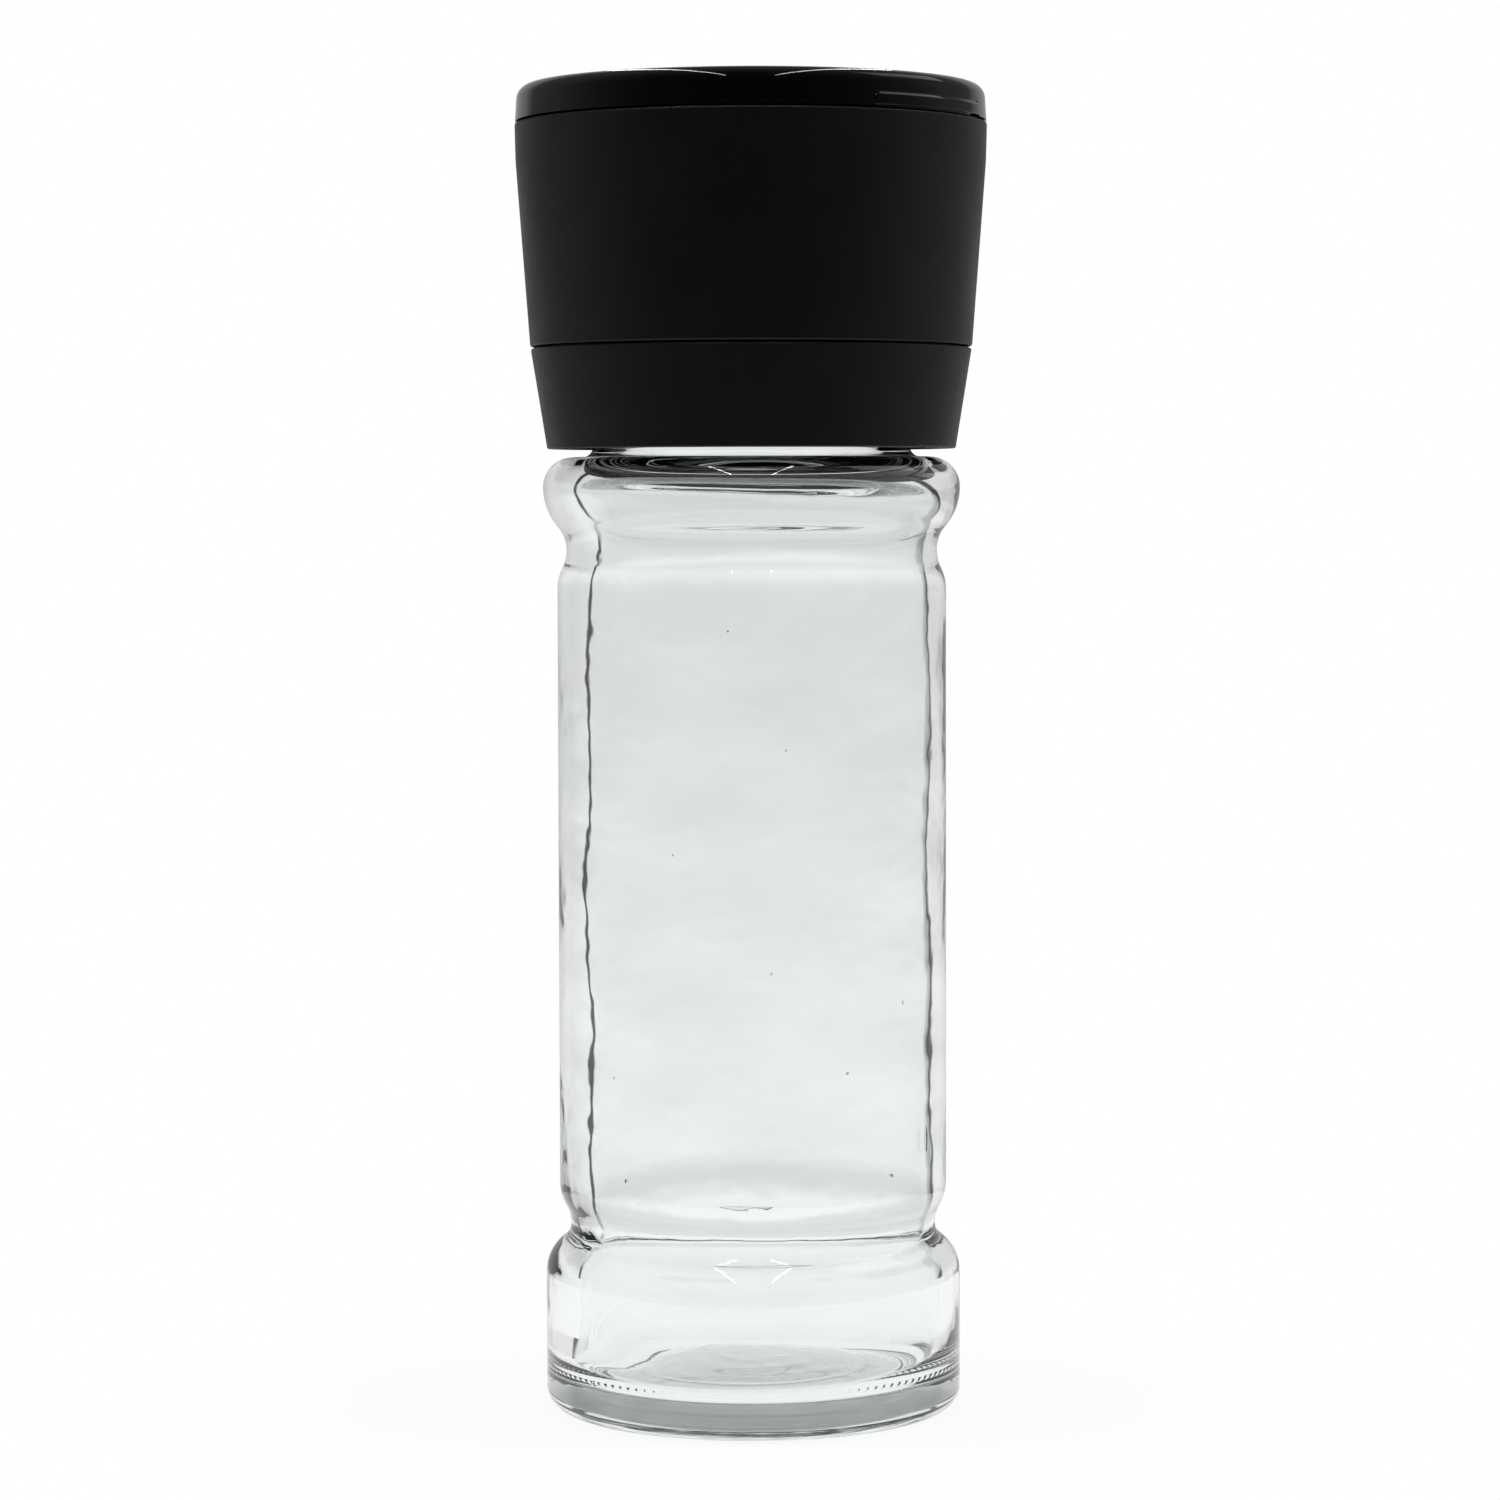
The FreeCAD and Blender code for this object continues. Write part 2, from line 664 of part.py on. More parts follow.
def make_inner_burr():
    body = new_body("inner_burr")
    revolve(body, "cone", [
        ("pocket_radius", "cone_low"),
        ("tip_radius", "cone_low"),
        ("waist_radius", "waist_level"),
        ("grind_radius", "burr_top"),
        ("0", "burr_top"),
        ("0", "pocket_top"),
        ("pocket_radius", "pocket_top"),
    ])
    coarse = [
        wedge(body, "coarse_low", "cone_low - overrun", "tip_radius + overrun",
              "tip_radius - coarse_depth", "0", "coarse_half_angle"),
        wedge(body, "coarse_high", "waist_level", "waist_radius + overrun",
              "waist_radius - coarse_depth * coarse_runout_share", "coarse_twist", "coarse_half_angle"),
    ]
    round_copies(body, "coarse_gaps", loft_cut(body, "coarse_gap", coarse), "coarse_teeth")
    fine = [
        wedge(body, "fine_low", "waist_level", "waist_radius + overrun",
              "waist_radius - fine_depth", "0", "cone_fine_half_angle"),
        wedge(body, "fine_high", "burr_top + overrun", "grind_radius + 2 * overrun",
              "grind_radius + (grind_radius - waist_radius) / grind_height * overrun - fine_depth",
              "fine_twist", "cone_fine_half_angle"),
    ]
    round_copies(body, "fine_gaps", loft_cut(body, "fine_gap", fine), "fine_teeth")
    reach = "spindle_width / 2 + bore_clearance"
    bore = new_sketch(body, "bore_section", "XY_Plane", "burr_top + overrun")
    rectangle(bore, f"-({reach})", f"-({reach})", reach, reach)
    extrude(body, "Pocket", "bore", bore, "burr_top - cone_low + 2 * overrun")
    return body


def make_outer_burr():
    body = new_body("outer_burr")
    revolve(body, "ring", [
        ("inlet_radius", "burr_low"),
        ("outer_burr_radius", "burr_low"),
        ("outer_burr_radius", "burr_top"),
        ("grind_radius + grind_gap", "burr_top"),
        ("waist_radius + grind_gap", "waist_level"),
    ])
    coarse = [
        wedge(body, "coarse_low", "burr_low", "inlet_radius - overrun",
              "inlet_radius + coarse_depth * coarse_runout_share", "0", "coarse_half_angle"),
        wedge(body, "coarse_high", "waist_level", "waist_radius + grind_gap - overrun",
              "waist_radius + grind_gap + coarse_depth", "0 - coarse_twist", "coarse_half_angle"),
    ]
    round_copies(body, "coarse_gaps", loft_cut(body, "coarse_gap", coarse), "coarse_teeth")
    rise = "(grind_radius - waist_radius) / grind_height * overrun"
    fine = [
        wedge(body, "fine_low", "waist_level - overrun", "waist_radius + grind_gap - 2 * overrun",
              f"waist_radius + grind_gap - {rise} + fine_depth", "0", "fine_half_angle"),
        wedge(body, "fine_high", "burr_top + overrun", "grind_radius + grind_gap - overrun",
              f"grind_radius + grind_gap + {rise} + fine_depth", "0 - fine_twist", "fine_half_angle"),
    ]
    round_copies(body, "fine_gaps", loft_cut(body, "fine_gap", fine), "fine_teeth")
    half = "key_width / 2 + key_clearance"
    key = new_sketch(body, "keyway_section", "XY_Plane", "burr_top + overrun")
    rectangle(key, "outer_burr_radius - key_height", f"-({half})", "outer_burr_radius + overrun", half)
    keyway = extrude(body, "Pocket", "keyway", key, "key_length + key_clearance + overrun")
    round_copies(body, "keyways", keyway, "key_count")
    return body


def make_burr_retainer():
    body = new_body("burr_retainer")
    sketch = new_sketch(body, "ring_section", "XY_Plane", "retainer_low")
    circle(sketch, "0", "0", "well_radius - retainer_fit")
    circle(sketch, "0", "0", "inlet_radius - notch_radius")
    extrude(body, "Pad", "ring", sketch, "retainer_thickness")
    notch_section = new_sketch(body, "notch_section", "XY_Plane", "retainer_low - overrun")
    circle(notch_section, "inlet_radius - notch_radius", "0", "notch_radius")
    notch = extrude(body, "Pocket", "notch", notch_section, "retainer_thickness + 2 * overrun", flip=True)
    round_copies(body, "notches", notch, "retainer_notches")
    return body


def make_adjusting_knob():
    body = new_body("adjusting_knob")
    bore = "stud_radius + knob_bore_clearance"
    bore_top = "knob_low + knob_bore_depth"
    revolve(body, "button", [
        (bore, "knob_low"),
        ("knob_radius", "knob_low"),
        ("knob_radius", "knob_top - knob_round"),
        ("knob_radius - knob_round", "knob_top", "up", "knob_top - knob_round"),
        ("0", "knob_top"),
        ("0", bore_top),
        (bore, bore_top),
    ])
    flute_section = new_sketch(body, "flute_section", "XY_Plane", "knob_top + overrun")
    circle(flute_section, "knob_radius + flute_sink", "0", "flute_radius")
    flute = extrude(body, "Pocket", "flute", flute_section, "knob_height + 2 * overrun")
    round_copies(body, "flutes", flute, "flute_count")
    half = "slot_width / 2"
    slot = new_sketch(body, "slot_section", "XY_Plane", "knob_top + overrun")
    rectangle(slot, f"-({half})", "0", half, "knob_radius + overrun")
    extrude(body, "Pocket", "pointer_slot", slot, "slot_depth + overrun")
    return body


def make_barrel():
    body = new_body("barrel")
    step = "socket_top + well_wall"
    revolve(body, "moulding", [
        ("well_radius", "barrel_top"),
        ("well_radius", "flange_top"),
        ("outlet_radius", "flange_top"),
        ("outlet_radius", "burr_top"),
        ("well_radius", "burr_top"),
        ("well_radius", "socket_top"),
        ("socket_radius", "socket_top"),
        ("socket_radius", "snap_top"),
        ("snap_radius", "snap_top"),
        ("snap_radius", "snap_low"),
        ("socket_radius", "snap_low - bead_height"),
        ("socket_radius", "tube_foot"),
        ("socket_outer", "tube_foot"),
        ("socket_outer", step),
        ("well_outer", step),
        ("well_outer", "barrel_deck_under"),
        ("barrel_band_radius - barrel_wall", "barrel_deck_under"),
        ("barrel_band_radius - barrel_wall", "band_low"),
        ("barrel_foot_radius - barrel_wall", "barrel_foot"),
        ("barrel_foot_radius - edge_round", "barrel_foot"),
        ("barrel_foot_radius", "barrel_foot + edge_round", "up", "barrel_foot + edge_round"),
        ("barrel_band_radius", "band_low"),
        ("barrel_rim_radius", "barrel_top - edge_round"),
        ("barrel_rim_radius - edge_round", "barrel_top", "up", "barrel_top - edge_round"),
    ])
    half = "key_width / 2"
    rib_section = new_sketch(body, "rib_section", "XY_Plane", "burr_top - key_length")
    rib_reach = "outer_burr_radius - key_height + key_clearance"
    rectangle(rib_section, rib_reach, f"-{half}", "well_radius + well_wall / 2", half)
    rib = extrude(body, "Pad", "rib", rib_section, "key_length + outlet_flange / 2")
    round_copies(body, "ribs", rib, "key_count")
    front = "hinge_across - ear_radius"
    back = "hinge_across + ear_radius"
    root = "barrel_top - barrel_deck / 2"
    ear_section = outline(new_sketch(body, "ear_section", "YZ_Plane", "ear_inner"), [
        (front, root),
        (back, root),
        (back, "hinge_level"),
        ("hinge_across", "hinge_level + ear_radius", "up", "hinge_level"),
        (front, "hinge_level", "up", "hinge_level"),
    ])
    ear = extrude(body, "Pad", "ear", ear_section, "ear_thickness")
    mirror_left_right(body, "ears", ear)
    hole_section = new_sketch(body, "ear_hole_section", "YZ_Plane")
    hole = circle(hole_section, "hinge_across", "hinge_level", "ear_hole_radius")
    extrude(body, "Pocket", "ear_holes", hole, "2 * (ear_inner + ear_thickness + overrun)", "Symmetric")
    return body


def make_lid():
    body = new_body("lid")
    revolve(body, "cap", [
        ("0", "roof_under"),
        ("plug_inner", "roof_under"),
        ("plug_inner", "plug_foot"),
        ("plug_outer", "plug_foot"),
        ("plug_outer", "roof_under"),
        ("lid_inner", "roof_under"),
        ("lid_inner", "lid_bottom"),
        ("lid_radius", "lid_bottom"),
        ("lid_top_radius", "lid_top - lid_round"),
        ("lid_top_radius - lid_round", "lid_top", "up", "lid_top - lid_round"),
        ("0", "lid_top"),
    ])
    block_section = new_sketch(body, "hinge_block_section", "YZ_Plane")
    rectangle(block_section, "hinge_across - hinge_block_front", "lid_bottom", "lid_inner",
              "roof_under + lid_roof / 2")
    extrude(body, "Pad", "hinge_block", block_section, "2 * hinge_block_half", "Symmetric")
    flat_section = new_sketch(body, "back_flat_section", "YZ_Plane")
    rectangle(flat_section, "hinge_back", "lid_bottom - overrun", "lid_radius + overrun",
              "lid_top + overrun")
    extrude(body, "Pocket", "back_flat", flat_section, "2 * relief_half", "Symmetric")
    relief_section = outline(new_sketch(body, "back_relief_section", "YZ_Plane"), [
        ("hinge_across", "lid_bottom - overrun"),
        ("hinge_across + hinge_round", "lid_bottom - overrun"),
        ("hinge_across + hinge_round", "hinge_level"),
        ("hinge_across", "lid_bottom", "up", "hinge_level"),
    ])
    extrude(body, "Pocket", "back_relief", relief_section, "2 * relief_half", "Symmetric")
    slot_section = new_sketch(body, "ear_slot_section", "YZ_Plane", "ear_inner - ear_clearance")
    rectangle(slot_section, "hinge_across - ear_space", "lid_bottom - overrun", "lid_radius + overrun",
              "hinge_level + ear_space")
    slot = extrude(body, "Pocket", "ear_slot", slot_section, "ear_thickness + 2 * ear_clearance", flip=True)
    mirror_left_right(body, "ear_slots", slot)
    pin_section = new_sketch(body, "hinge_pin_section", "YZ_Plane")
    pin = circle(pin_section, "hinge_across", "hinge_level", "pin_radius")
    extrude(body, "Pad", "hinge_pins", pin, "2 * (ear_inner + ear_thickness + ear_clearance)", "Symmetric")
    thumb_section = new_sketch(body, "thumb_section", "YZ_Plane")
    rectangle(thumb_section, "-(lid_radius + overrun)", "lid_bottom - overrun",
              "-(lid_radius - thumb_depth)", "lid_bottom + thumb_height")
    thumb = feature(body, "Groove", "thumb_recess", thumb_section)
    thumb.ReferenceAxis = (thumb_section, ["V_Axis"])
    thumb.Midplane = True
    thumb.setExpression("Angle", bound("thumb_angle"))
    doc.recompute()
    roof = value("lid_bottom + thumb_height")
    corners = []
    for number, edge in enumerate(body.Shape.Edges, start=1):
        middle = edge.CenterOfMass
        level = abs(middle.z - roof) < value("thumb_round / 2")
        radial = abs(edge.Length - value("thumb_depth")) < value("thumb_round / 2")
        if level and radial and middle.y < 0 and len(edge.Vertexes) == 2:
            corners.append(f"Edge{number}")
    soft = body.newObject("PartDesign::Fillet", "lid_thumb_corners")
    soft.Base = (thumb, corners)
    soft.setExpression("Radius", bound("thumb_round"))
    body.Tip = soft
    doc.recompute()
    # the edges where the recess breaks through the lid's outer skin
    brow = []
    for number, edge in enumerate(body.Shape.Edges, start=1):
        middle = edge.CenterOfMass
        reach = min(math.hypot(vertex.X, vertex.Y) for vertex in edge.Vertexes)
        above = middle.z - value("lid_bottom")
        beside = value("thumb_edge_round / 4") < above < value("thumb_height + thumb_edge_round")
        if beside and middle.y < 0 and reach > value("lid_top_radius - lid_draft"):
            brow.append(f"Edge{number}")
    rounded = body.newObject("PartDesign::Fillet", "lid_thumb_edge")
    rounded.Base = (soft, brow)
    rounded.setExpression("Radius", bound("thumb_edge_round"))
    body.Tip = rounded
    return body


MAKERS = [
    make_glass_jar, make_neck_seal, make_collar, make_spindle_bracket, make_spindle, make_burr_spring,
    make_inner_burr, make_outer_burr, make_burr_retainer, make_adjusting_knob, make_barrel, make_lid,
]
pieces = [maker() for maker in MAKERS]
doc.recompute()

for item in doc.Objects:
    if {"Invalid", "Error"} & set(item.State):
        raise RuntimeError(f"{item.Name} failed: {item.State}")
for piece in pieces:
    if piece.Shape.isNull() or not piece.Shape.isValid():
        raise RuntimeError(f"{piece.Label} has no valid shape")
    if len(piece.Shape.Solids) != 1:
        raise RuntimeError(f"{piece.Label} is {len(piece.Shape.Solids)} solids, not one")

os.makedirs("parts", exist_ok=True)
for piece in pieces:
    piece.Shape.exportStep(f"parts/{piece.Label}.step")
    print(f"{piece.Label}: {piece.Shape.Volume:.1f} mm3, {len(piece.Shape.Faces)} faces")
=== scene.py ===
# %% [markdown]
# # A glass spice jar with a grinder head
# This lesson dresses a finished CAD model of a spice grinder for a photograph. The CAD gives every
# piece its place and size, so no piece is placed by eye: we load it as a fixed frame, swap the plain
# glass for a livelier blown one, and give each piece the finish of its real material.

import bmesh
import bpy
import json
import math
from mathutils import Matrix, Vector, noise


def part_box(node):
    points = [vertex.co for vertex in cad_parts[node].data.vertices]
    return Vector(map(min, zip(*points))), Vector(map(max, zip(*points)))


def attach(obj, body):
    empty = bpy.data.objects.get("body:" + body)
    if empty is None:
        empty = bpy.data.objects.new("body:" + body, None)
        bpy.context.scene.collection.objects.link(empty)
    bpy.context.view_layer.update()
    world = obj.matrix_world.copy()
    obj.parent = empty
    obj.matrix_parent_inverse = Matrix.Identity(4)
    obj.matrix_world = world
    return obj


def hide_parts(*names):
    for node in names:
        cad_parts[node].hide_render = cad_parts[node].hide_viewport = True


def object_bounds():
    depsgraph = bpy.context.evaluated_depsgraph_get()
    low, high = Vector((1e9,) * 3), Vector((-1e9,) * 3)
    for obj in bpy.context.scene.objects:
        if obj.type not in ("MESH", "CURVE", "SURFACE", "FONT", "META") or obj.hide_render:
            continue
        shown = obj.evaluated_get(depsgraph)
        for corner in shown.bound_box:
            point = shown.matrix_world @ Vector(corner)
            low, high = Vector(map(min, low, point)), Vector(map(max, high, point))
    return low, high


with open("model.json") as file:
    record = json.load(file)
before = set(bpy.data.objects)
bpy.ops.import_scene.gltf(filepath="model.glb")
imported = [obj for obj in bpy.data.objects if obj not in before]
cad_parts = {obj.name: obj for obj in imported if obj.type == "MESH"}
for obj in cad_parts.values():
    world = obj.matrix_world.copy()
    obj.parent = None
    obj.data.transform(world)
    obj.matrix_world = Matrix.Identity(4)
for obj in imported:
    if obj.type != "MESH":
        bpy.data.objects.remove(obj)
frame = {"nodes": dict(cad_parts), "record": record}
cad_box = [list(corner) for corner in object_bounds()]
MM = 0.001
print("CAD box in mm:", [[round(side / MM, 2) for side in corner] for corner in cad_box])

# %% [markdown]
# ## Where the photographer stood
# The outline in the photograph gives the camera: a long lens half a metre away, as high as the glass
# shoulder, looking down by three degrees. Azimuth 0 looks along +Y, and this one is turned to the left,
# so that the lid's thumb tab shows on the right. Other steps place details as "so many degrees to the
# right of the camera", so the camera comes first.

# %% Camera
CAMERA_AZIMUTH = math.radians(-52)
CAMERA_PITCH = math.radians(-3.106)
CAMERA_AWAY = 520.8
CAMERA_HEIGHT = 101.5
CAMERA_ROLL = math.radians(0.13)
CAMERA_SIDESTEP = 0.17
SENSOR_WIDTH = 36.0
LENS = 112.8

towards_camera = Vector((math.sin(CAMERA_AZIMUTH), -math.cos(CAMERA_AZIMUTH), 0))
camera_right = Vector((math.cos(CAMERA_AZIMUTH), math.sin(CAMERA_AZIMUTH), 0))
camera = bpy.data.objects.new("camera", bpy.data.cameras.new("camera"))
camera.data.sensor_width = SENSOR_WIDTH
camera.data.lens = LENS
camera.location = (towards_camera * CAMERA_AWAY - camera_right * CAMERA_SIDESTEP) * MM
camera.location.z = CAMERA_HEIGHT * MM
camera.rotation_euler = (math.pi / 2 + CAMERA_PITCH, CAMERA_ROLL, CAMERA_AZIMUTH)
bpy.context.collection.objects.link(camera)
bpy.context.scene.camera = camera
bpy.context.scene.view_settings.view_transform = "Standard"
print("camera at", [round(side / MM, 1) for side in camera.location], "mm")

# %% [markdown]
# ## Adding nodes, colours and meshes
# A node material is a small graph. One helper adds a node, sets its values and plugs in its links, so
# each material below reads as a list. Colours are written as sRGB hex, as a colour picker shows
# them, and turned into the linear light that Blender works in. Pattern sizes are real millimetres:
# object coordinates are in metres, so a grain of one millimetre repeats a thousand times in each. The
# mesh helpers finish what later steps build point by point: one places a point round the axis, one
# skins a row of sections, as planks cover the ribs of a ship, and one makes the result an object.


# %% Node and colour helpers
def to_linear(hex_colour):
    shares = [int(hex_colour[place:place + 2], 16) / 255 for place in (1, 3, 5)]
    linear = [((share + 0.055) / 1.055) ** 2.4 if share > 0.04045 else share / 12.92 for share in shares]
    return (*linear, 1)


def add_node(tree, kind, settings=None, links=None):
    node = tree.nodes.new(kind)
    for name, setting in (settings or {}).items():
        if hasattr(node, str(name)):
            setattr(node, name, setting)
        else:
            node.inputs[name].default_value = setting
    for name, source in (links or {}).items():
        tree.links.new(source, node.inputs[name])
    return node


def grains(size):
    return 1 / (size * MM)


def new_material(name):
    material = bpy.data.materials.new(name)
    material.use_nodes = True
    material.node_tree.nodes.clear()
    return material


def glow_material(name, strength):
    material = new_material(name)
    tree = material.node_tree
    glow = add_node(tree, "ShaderNodeEmission", {"Color": (1, 1, 1, 1), "Strength": strength})
    add_node(tree, "ShaderNodeOutputMaterial", {}, {"Surface": glow.outputs["Emission"]})
    return material


print("white is", to_linear("#ffffff"), "and one-millimetre grains have scale", grains(1))


# %% Mesh helpers
def skin_sections(shell, sections):
    for before, after in zip(sections, sections[1:]):
        for here in range(len(before)):
            there = (here + 1) % len(before)
            shell.faces.new((before[here], after[here], after[there], before[there]))
    shell.faces.new(sections[0])
    shell.faces.new(list(reversed(sections[-1])))
    bmesh.ops.recalc_face_normals(shell, faces=shell.faces[:])


def at_angle(radius, angle, level):
    # in metres before it becomes a Vector, so that the glass lip still meets its seal to the last digit
    return Vector((radius * math.cos(angle) * MM, radius * math.sin(angle) * MM, level * MM))


def make_object(name, shell, material):
    mesh = bpy.data.meshes.new(name)
    shell.to_mesh(mesh)
    shell.free()
    mesh.materials.append(material)
    made = bpy.data.objects.new(name, mesh)
    bpy.context.collection.objects.link(made)
    return made


print("a point 10 mm from the axis, 5 mm up:", at_angle(10, 0, 5))

# %% [markdown]
# ## Blown soda-lime glass
# Jar glass is clear with a faint grey-green tint, and its index of refraction is 1.52. It is blown
# against a polished mould, so the outside is crisp while the inside, which only air has touched,
# wavers. The waver is real shape, made in the mesh further down. Here a very soft bump adds the cooler
# skin of the mould, and a slow noise moves the tint a little, as thick and thin glass does. The domed
# underside is dull, because the mould's cold base plate chilled it, so glass that is low and well
# inside the standing ring gets a rough skin. The green of thick glass comes from a volume that absorbs.

# %% Soda-lime glass
GLASS_CLEAR = "#fcfdfd"
GLASS_GREY = "#f8f9fa"
GLASS_WAVE = 7.0
FROST_TOP = 2.8
FROST_EDGE = 16.4
FROST_ROUGHNESS = 0.4
GLASS_INDEX = 1.52
DEEP_GREEN = "#b0dcd4"
DEEP_DENSITY = 5.0
glass = new_material("blown_soda_lime_glass")
tree = glass.node_tree
place = add_node(tree, "ShaderNodeTexCoord")
wave = add_node(
    tree, "ShaderNodeTexNoise", {"Scale": grains(GLASS_WAVE), "Detail": 1.0},
    {"Vector": place.outputs["Object"]})
tint = add_node(
    tree, "ShaderNodeMix",
    {"data_type": "RGBA", 6: to_linear(GLASS_GREY), 7: to_linear(GLASS_CLEAR)},
    {0: wave.outputs["Fac"]})
skin = add_node(
    tree, "ShaderNodeBump", {"Strength": 0.05, "Distance": 0.1 * MM}, {"Height": wave.outputs["Fac"]})
apart = add_node(tree, "ShaderNodeSeparateXYZ", {}, {"Vector": place.outputs["Object"]})
low = add_node(
    tree, "ShaderNodeMath", {"operation": "LESS_THAN", 1: FROST_TOP * MM}, {0: apart.outputs["Z"]})
inward = add_node(
    tree, "ShaderNodeVectorMath", {"operation": "MULTIPLY", 1: (1, 1, 0)}, {0: place.outputs["Object"]})
from_axis = add_node(tree, "ShaderNodeVectorMath", {"operation": "LENGTH"}, {0: inward.outputs["Vector"]})
under = add_node(
    tree, "ShaderNodeMath", {"operation": "LESS_THAN", 1: FROST_EDGE * MM}, {0: from_axis.outputs["Value"]})
punt = add_node(
    tree, "ShaderNodeMath", {"operation": "MULTIPLY"}, {0: low.outputs["Value"], 1: under.outputs["Value"]})
frost = add_node(
    tree, "ShaderNodeMath", {"operation": "MULTIPLY", 1: FROST_ROUGHNESS}, {0: punt.outputs["Value"]})
shader = add_node(
    tree, "ShaderNodeBsdfPrincipled", {"IOR": GLASS_INDEX, "Transmission Weight": 1.0},
    {"Base Color": tint.outputs[2], "Roughness": frost.outputs["Value"], "Normal": skin.outputs["Normal"]})
depth = add_node(
    tree, "ShaderNodeVolumeAbsorption", {"Color": to_linear(DEEP_GREEN), "Density": DEEP_DENSITY})
add_node(
    tree, "ShaderNodeOutputMaterial", {},
    {"Surface": shader.outputs["BSDF"], "Volume": depth.outputs["Volume"]})
print("material", glass.name)

# %% [markdown]
# ## Moulded plastics
# The head is moulded in polypropylene. Barrel and collar come from a spark-eroded mould, which leaves a
# fine sandy skin: black, dull, with a soft grey sheen where light grazes it. The lid's mould is
# polished, so it mirrors. The grit is finer than a pixel here, so it is drawn coarser than life. One
# recipe makes all of them: a noise at the grit's size drives bump and roughness, and a slower noise
# clouds the colour, as handling does.

# %% Plastic recipe
CLOUD_SIZE = 9.0
GRIT_DEPTH = 0.05


def moulded_plastic(name, dark, pale, grit, bump, rough_low, rough_high, index):
    material = new_material(name)
    tree = material.node_tree
    place = add_node(tree, "ShaderNodeTexCoord")
    grit_noise = add_node(
        tree, "ShaderNodeTexNoise", {"Scale": grains(grit), "Detail": 3.0},
        {"Vector": place.outputs["Object"]})
    cloud = add_node(
        tree, "ShaderNodeTexNoise", {"Scale": grains(CLOUD_SIZE), "Detail": 4.0},
        {"Vector": place.outputs["Object"]})
    colour = add_node(
        tree, "ShaderNodeMix",
        {"data_type": "RGBA", 6: to_linear(dark), 7: to_linear(pale)},
        {0: cloud.outputs["Fac"]})
    mixed = add_node(
        tree, "ShaderNodeMath", {"operation": "MULTIPLY"},
        {0: grit_noise.outputs["Fac"], 1: cloud.outputs["Fac"]})
    roughness = add_node(
        tree, "ShaderNodeMapRange",
        {"From Min": 0.1, "From Max": 0.45, "To Min": rough_low, "To Max": rough_high},
        {"Value": mixed.outputs["Value"]})
    relief = add_node(
        tree, "ShaderNodeBump", {"Strength": bump, "Distance": GRIT_DEPTH * MM},
        {"Height": grit_noise.outputs["Fac"]})
    shader = add_node(
        tree, "ShaderNodeBsdfPrincipled", {"IOR": index},
        {"Base Color": colour.outputs[2], "Roughness": roughness.outputs["Result"],
         "Normal": relief.outputs["Normal"]})
    add_node(tree, "ShaderNodeOutputMaterial", {}, {"Surface": shader.outputs["BSDF"]})
    return material


matte_black = moulded_plastic(
    "spark_eroded_polypropylene", dark="#070808", pale="#0c0d0d",
    grit=0.35, bump=0.25, rough_low=0.42, rough_high=0.56, index=1.49)
gloss_black = moulded_plastic(
    "polished_polypropylene", dark="#030303", pale="#050505",
    grit=1.5, bump=0.01, rough_low=0.03, rough_high=0.07, index=1.44)
acetal = moulded_plastic(
    "satin_moulded_acetal", dark="#1c1d1e", pale="#26272a",
    grit=0.6, bump=0.1, rough_low=0.32, rough_high=0.42, index=1.48)
print("materials", matte_black.name, gloss_black.name, acetal.name)

# %% [markdown]
# ## Ceramic, steel and foam
# The burrs are pressed from ceramic powder and sintered without a glaze: off-white, dry, with a fine
# grain. The spindle and spring are drawn stainless steel, so their fine lines run along the draw. The
# seal is white polyethylene foam, punched from sheet, and its skin is a net of tiny closed cells.

# %% Sintered ceramic
ceramic = new_material("sintered_ceramic")
tree = ceramic.node_tree
place = add_node(tree, "ShaderNodeTexCoord")
grain = add_node(
    tree, "ShaderNodeTexNoise", {"Scale": grains(0.4), "Detail": 5.0}, {"Vector": place.outputs["Object"]})
colour = add_node(
    tree, "ShaderNodeMix",
    {"data_type": "RGBA", 6: to_linear("#d9d5ca"), 7: to_linear("#f0ede4")},
    {0: grain.outputs["Fac"]})
relief = add_node(
    tree, "ShaderNodeBump", {"Strength": 0.2, "Distance": 0.05 * MM}, {"Height": grain.outputs["Fac"]})
roughness = add_node(
    tree, "ShaderNodeMapRange", {"To Min": 0.45, "To Max": 0.7}, {"Value": grain.outputs["Fac"]})
shader = add_node(
    tree, "ShaderNodeBsdfPrincipled", {"IOR": 1.7},
    {"Base Color": colour.outputs[2], "Roughness": roughness.outputs["Result"],
     "Normal": relief.outputs["Normal"]})
add_node(tree, "ShaderNodeOutputMaterial", {}, {"Surface": shader.outputs["BSDF"]})
print("material", ceramic.name)

# %% Drawn stainless steel
steel = new_material("drawn_stainless_steel")
tree = steel.node_tree
place = add_node(tree, "ShaderNodeTexCoord")
along = add_node(tree, "ShaderNodeMapping", {"Scale": (1, 1, 0.04)}, {"Vector": place.outputs["Object"]})
lines = add_node(
    tree, "ShaderNodeTexNoise", {"Scale": grains(0.3), "Detail": 4.0}, {"Vector": along.outputs["Vector"]})
colour = add_node(
    tree, "ShaderNodeMix",
    {"data_type": "RGBA", 6: to_linear("#b9babc"), 7: to_linear("#d4d5d6")},
    {0: lines.outputs["Fac"]})
roughness = add_node(
    tree, "ShaderNodeMapRange", {"To Min": 0.18, "To Max": 0.36}, {"Value": lines.outputs["Fac"]})
shader = add_node(
    tree, "ShaderNodeBsdfPrincipled", {"Metallic": 1.0},
    {"Base Color": colour.outputs[2], "Roughness": roughness.outputs["Result"]})
add_node(tree, "ShaderNodeOutputMaterial", {}, {"Surface": shader.outputs["BSDF"]})
print("material", steel.name)

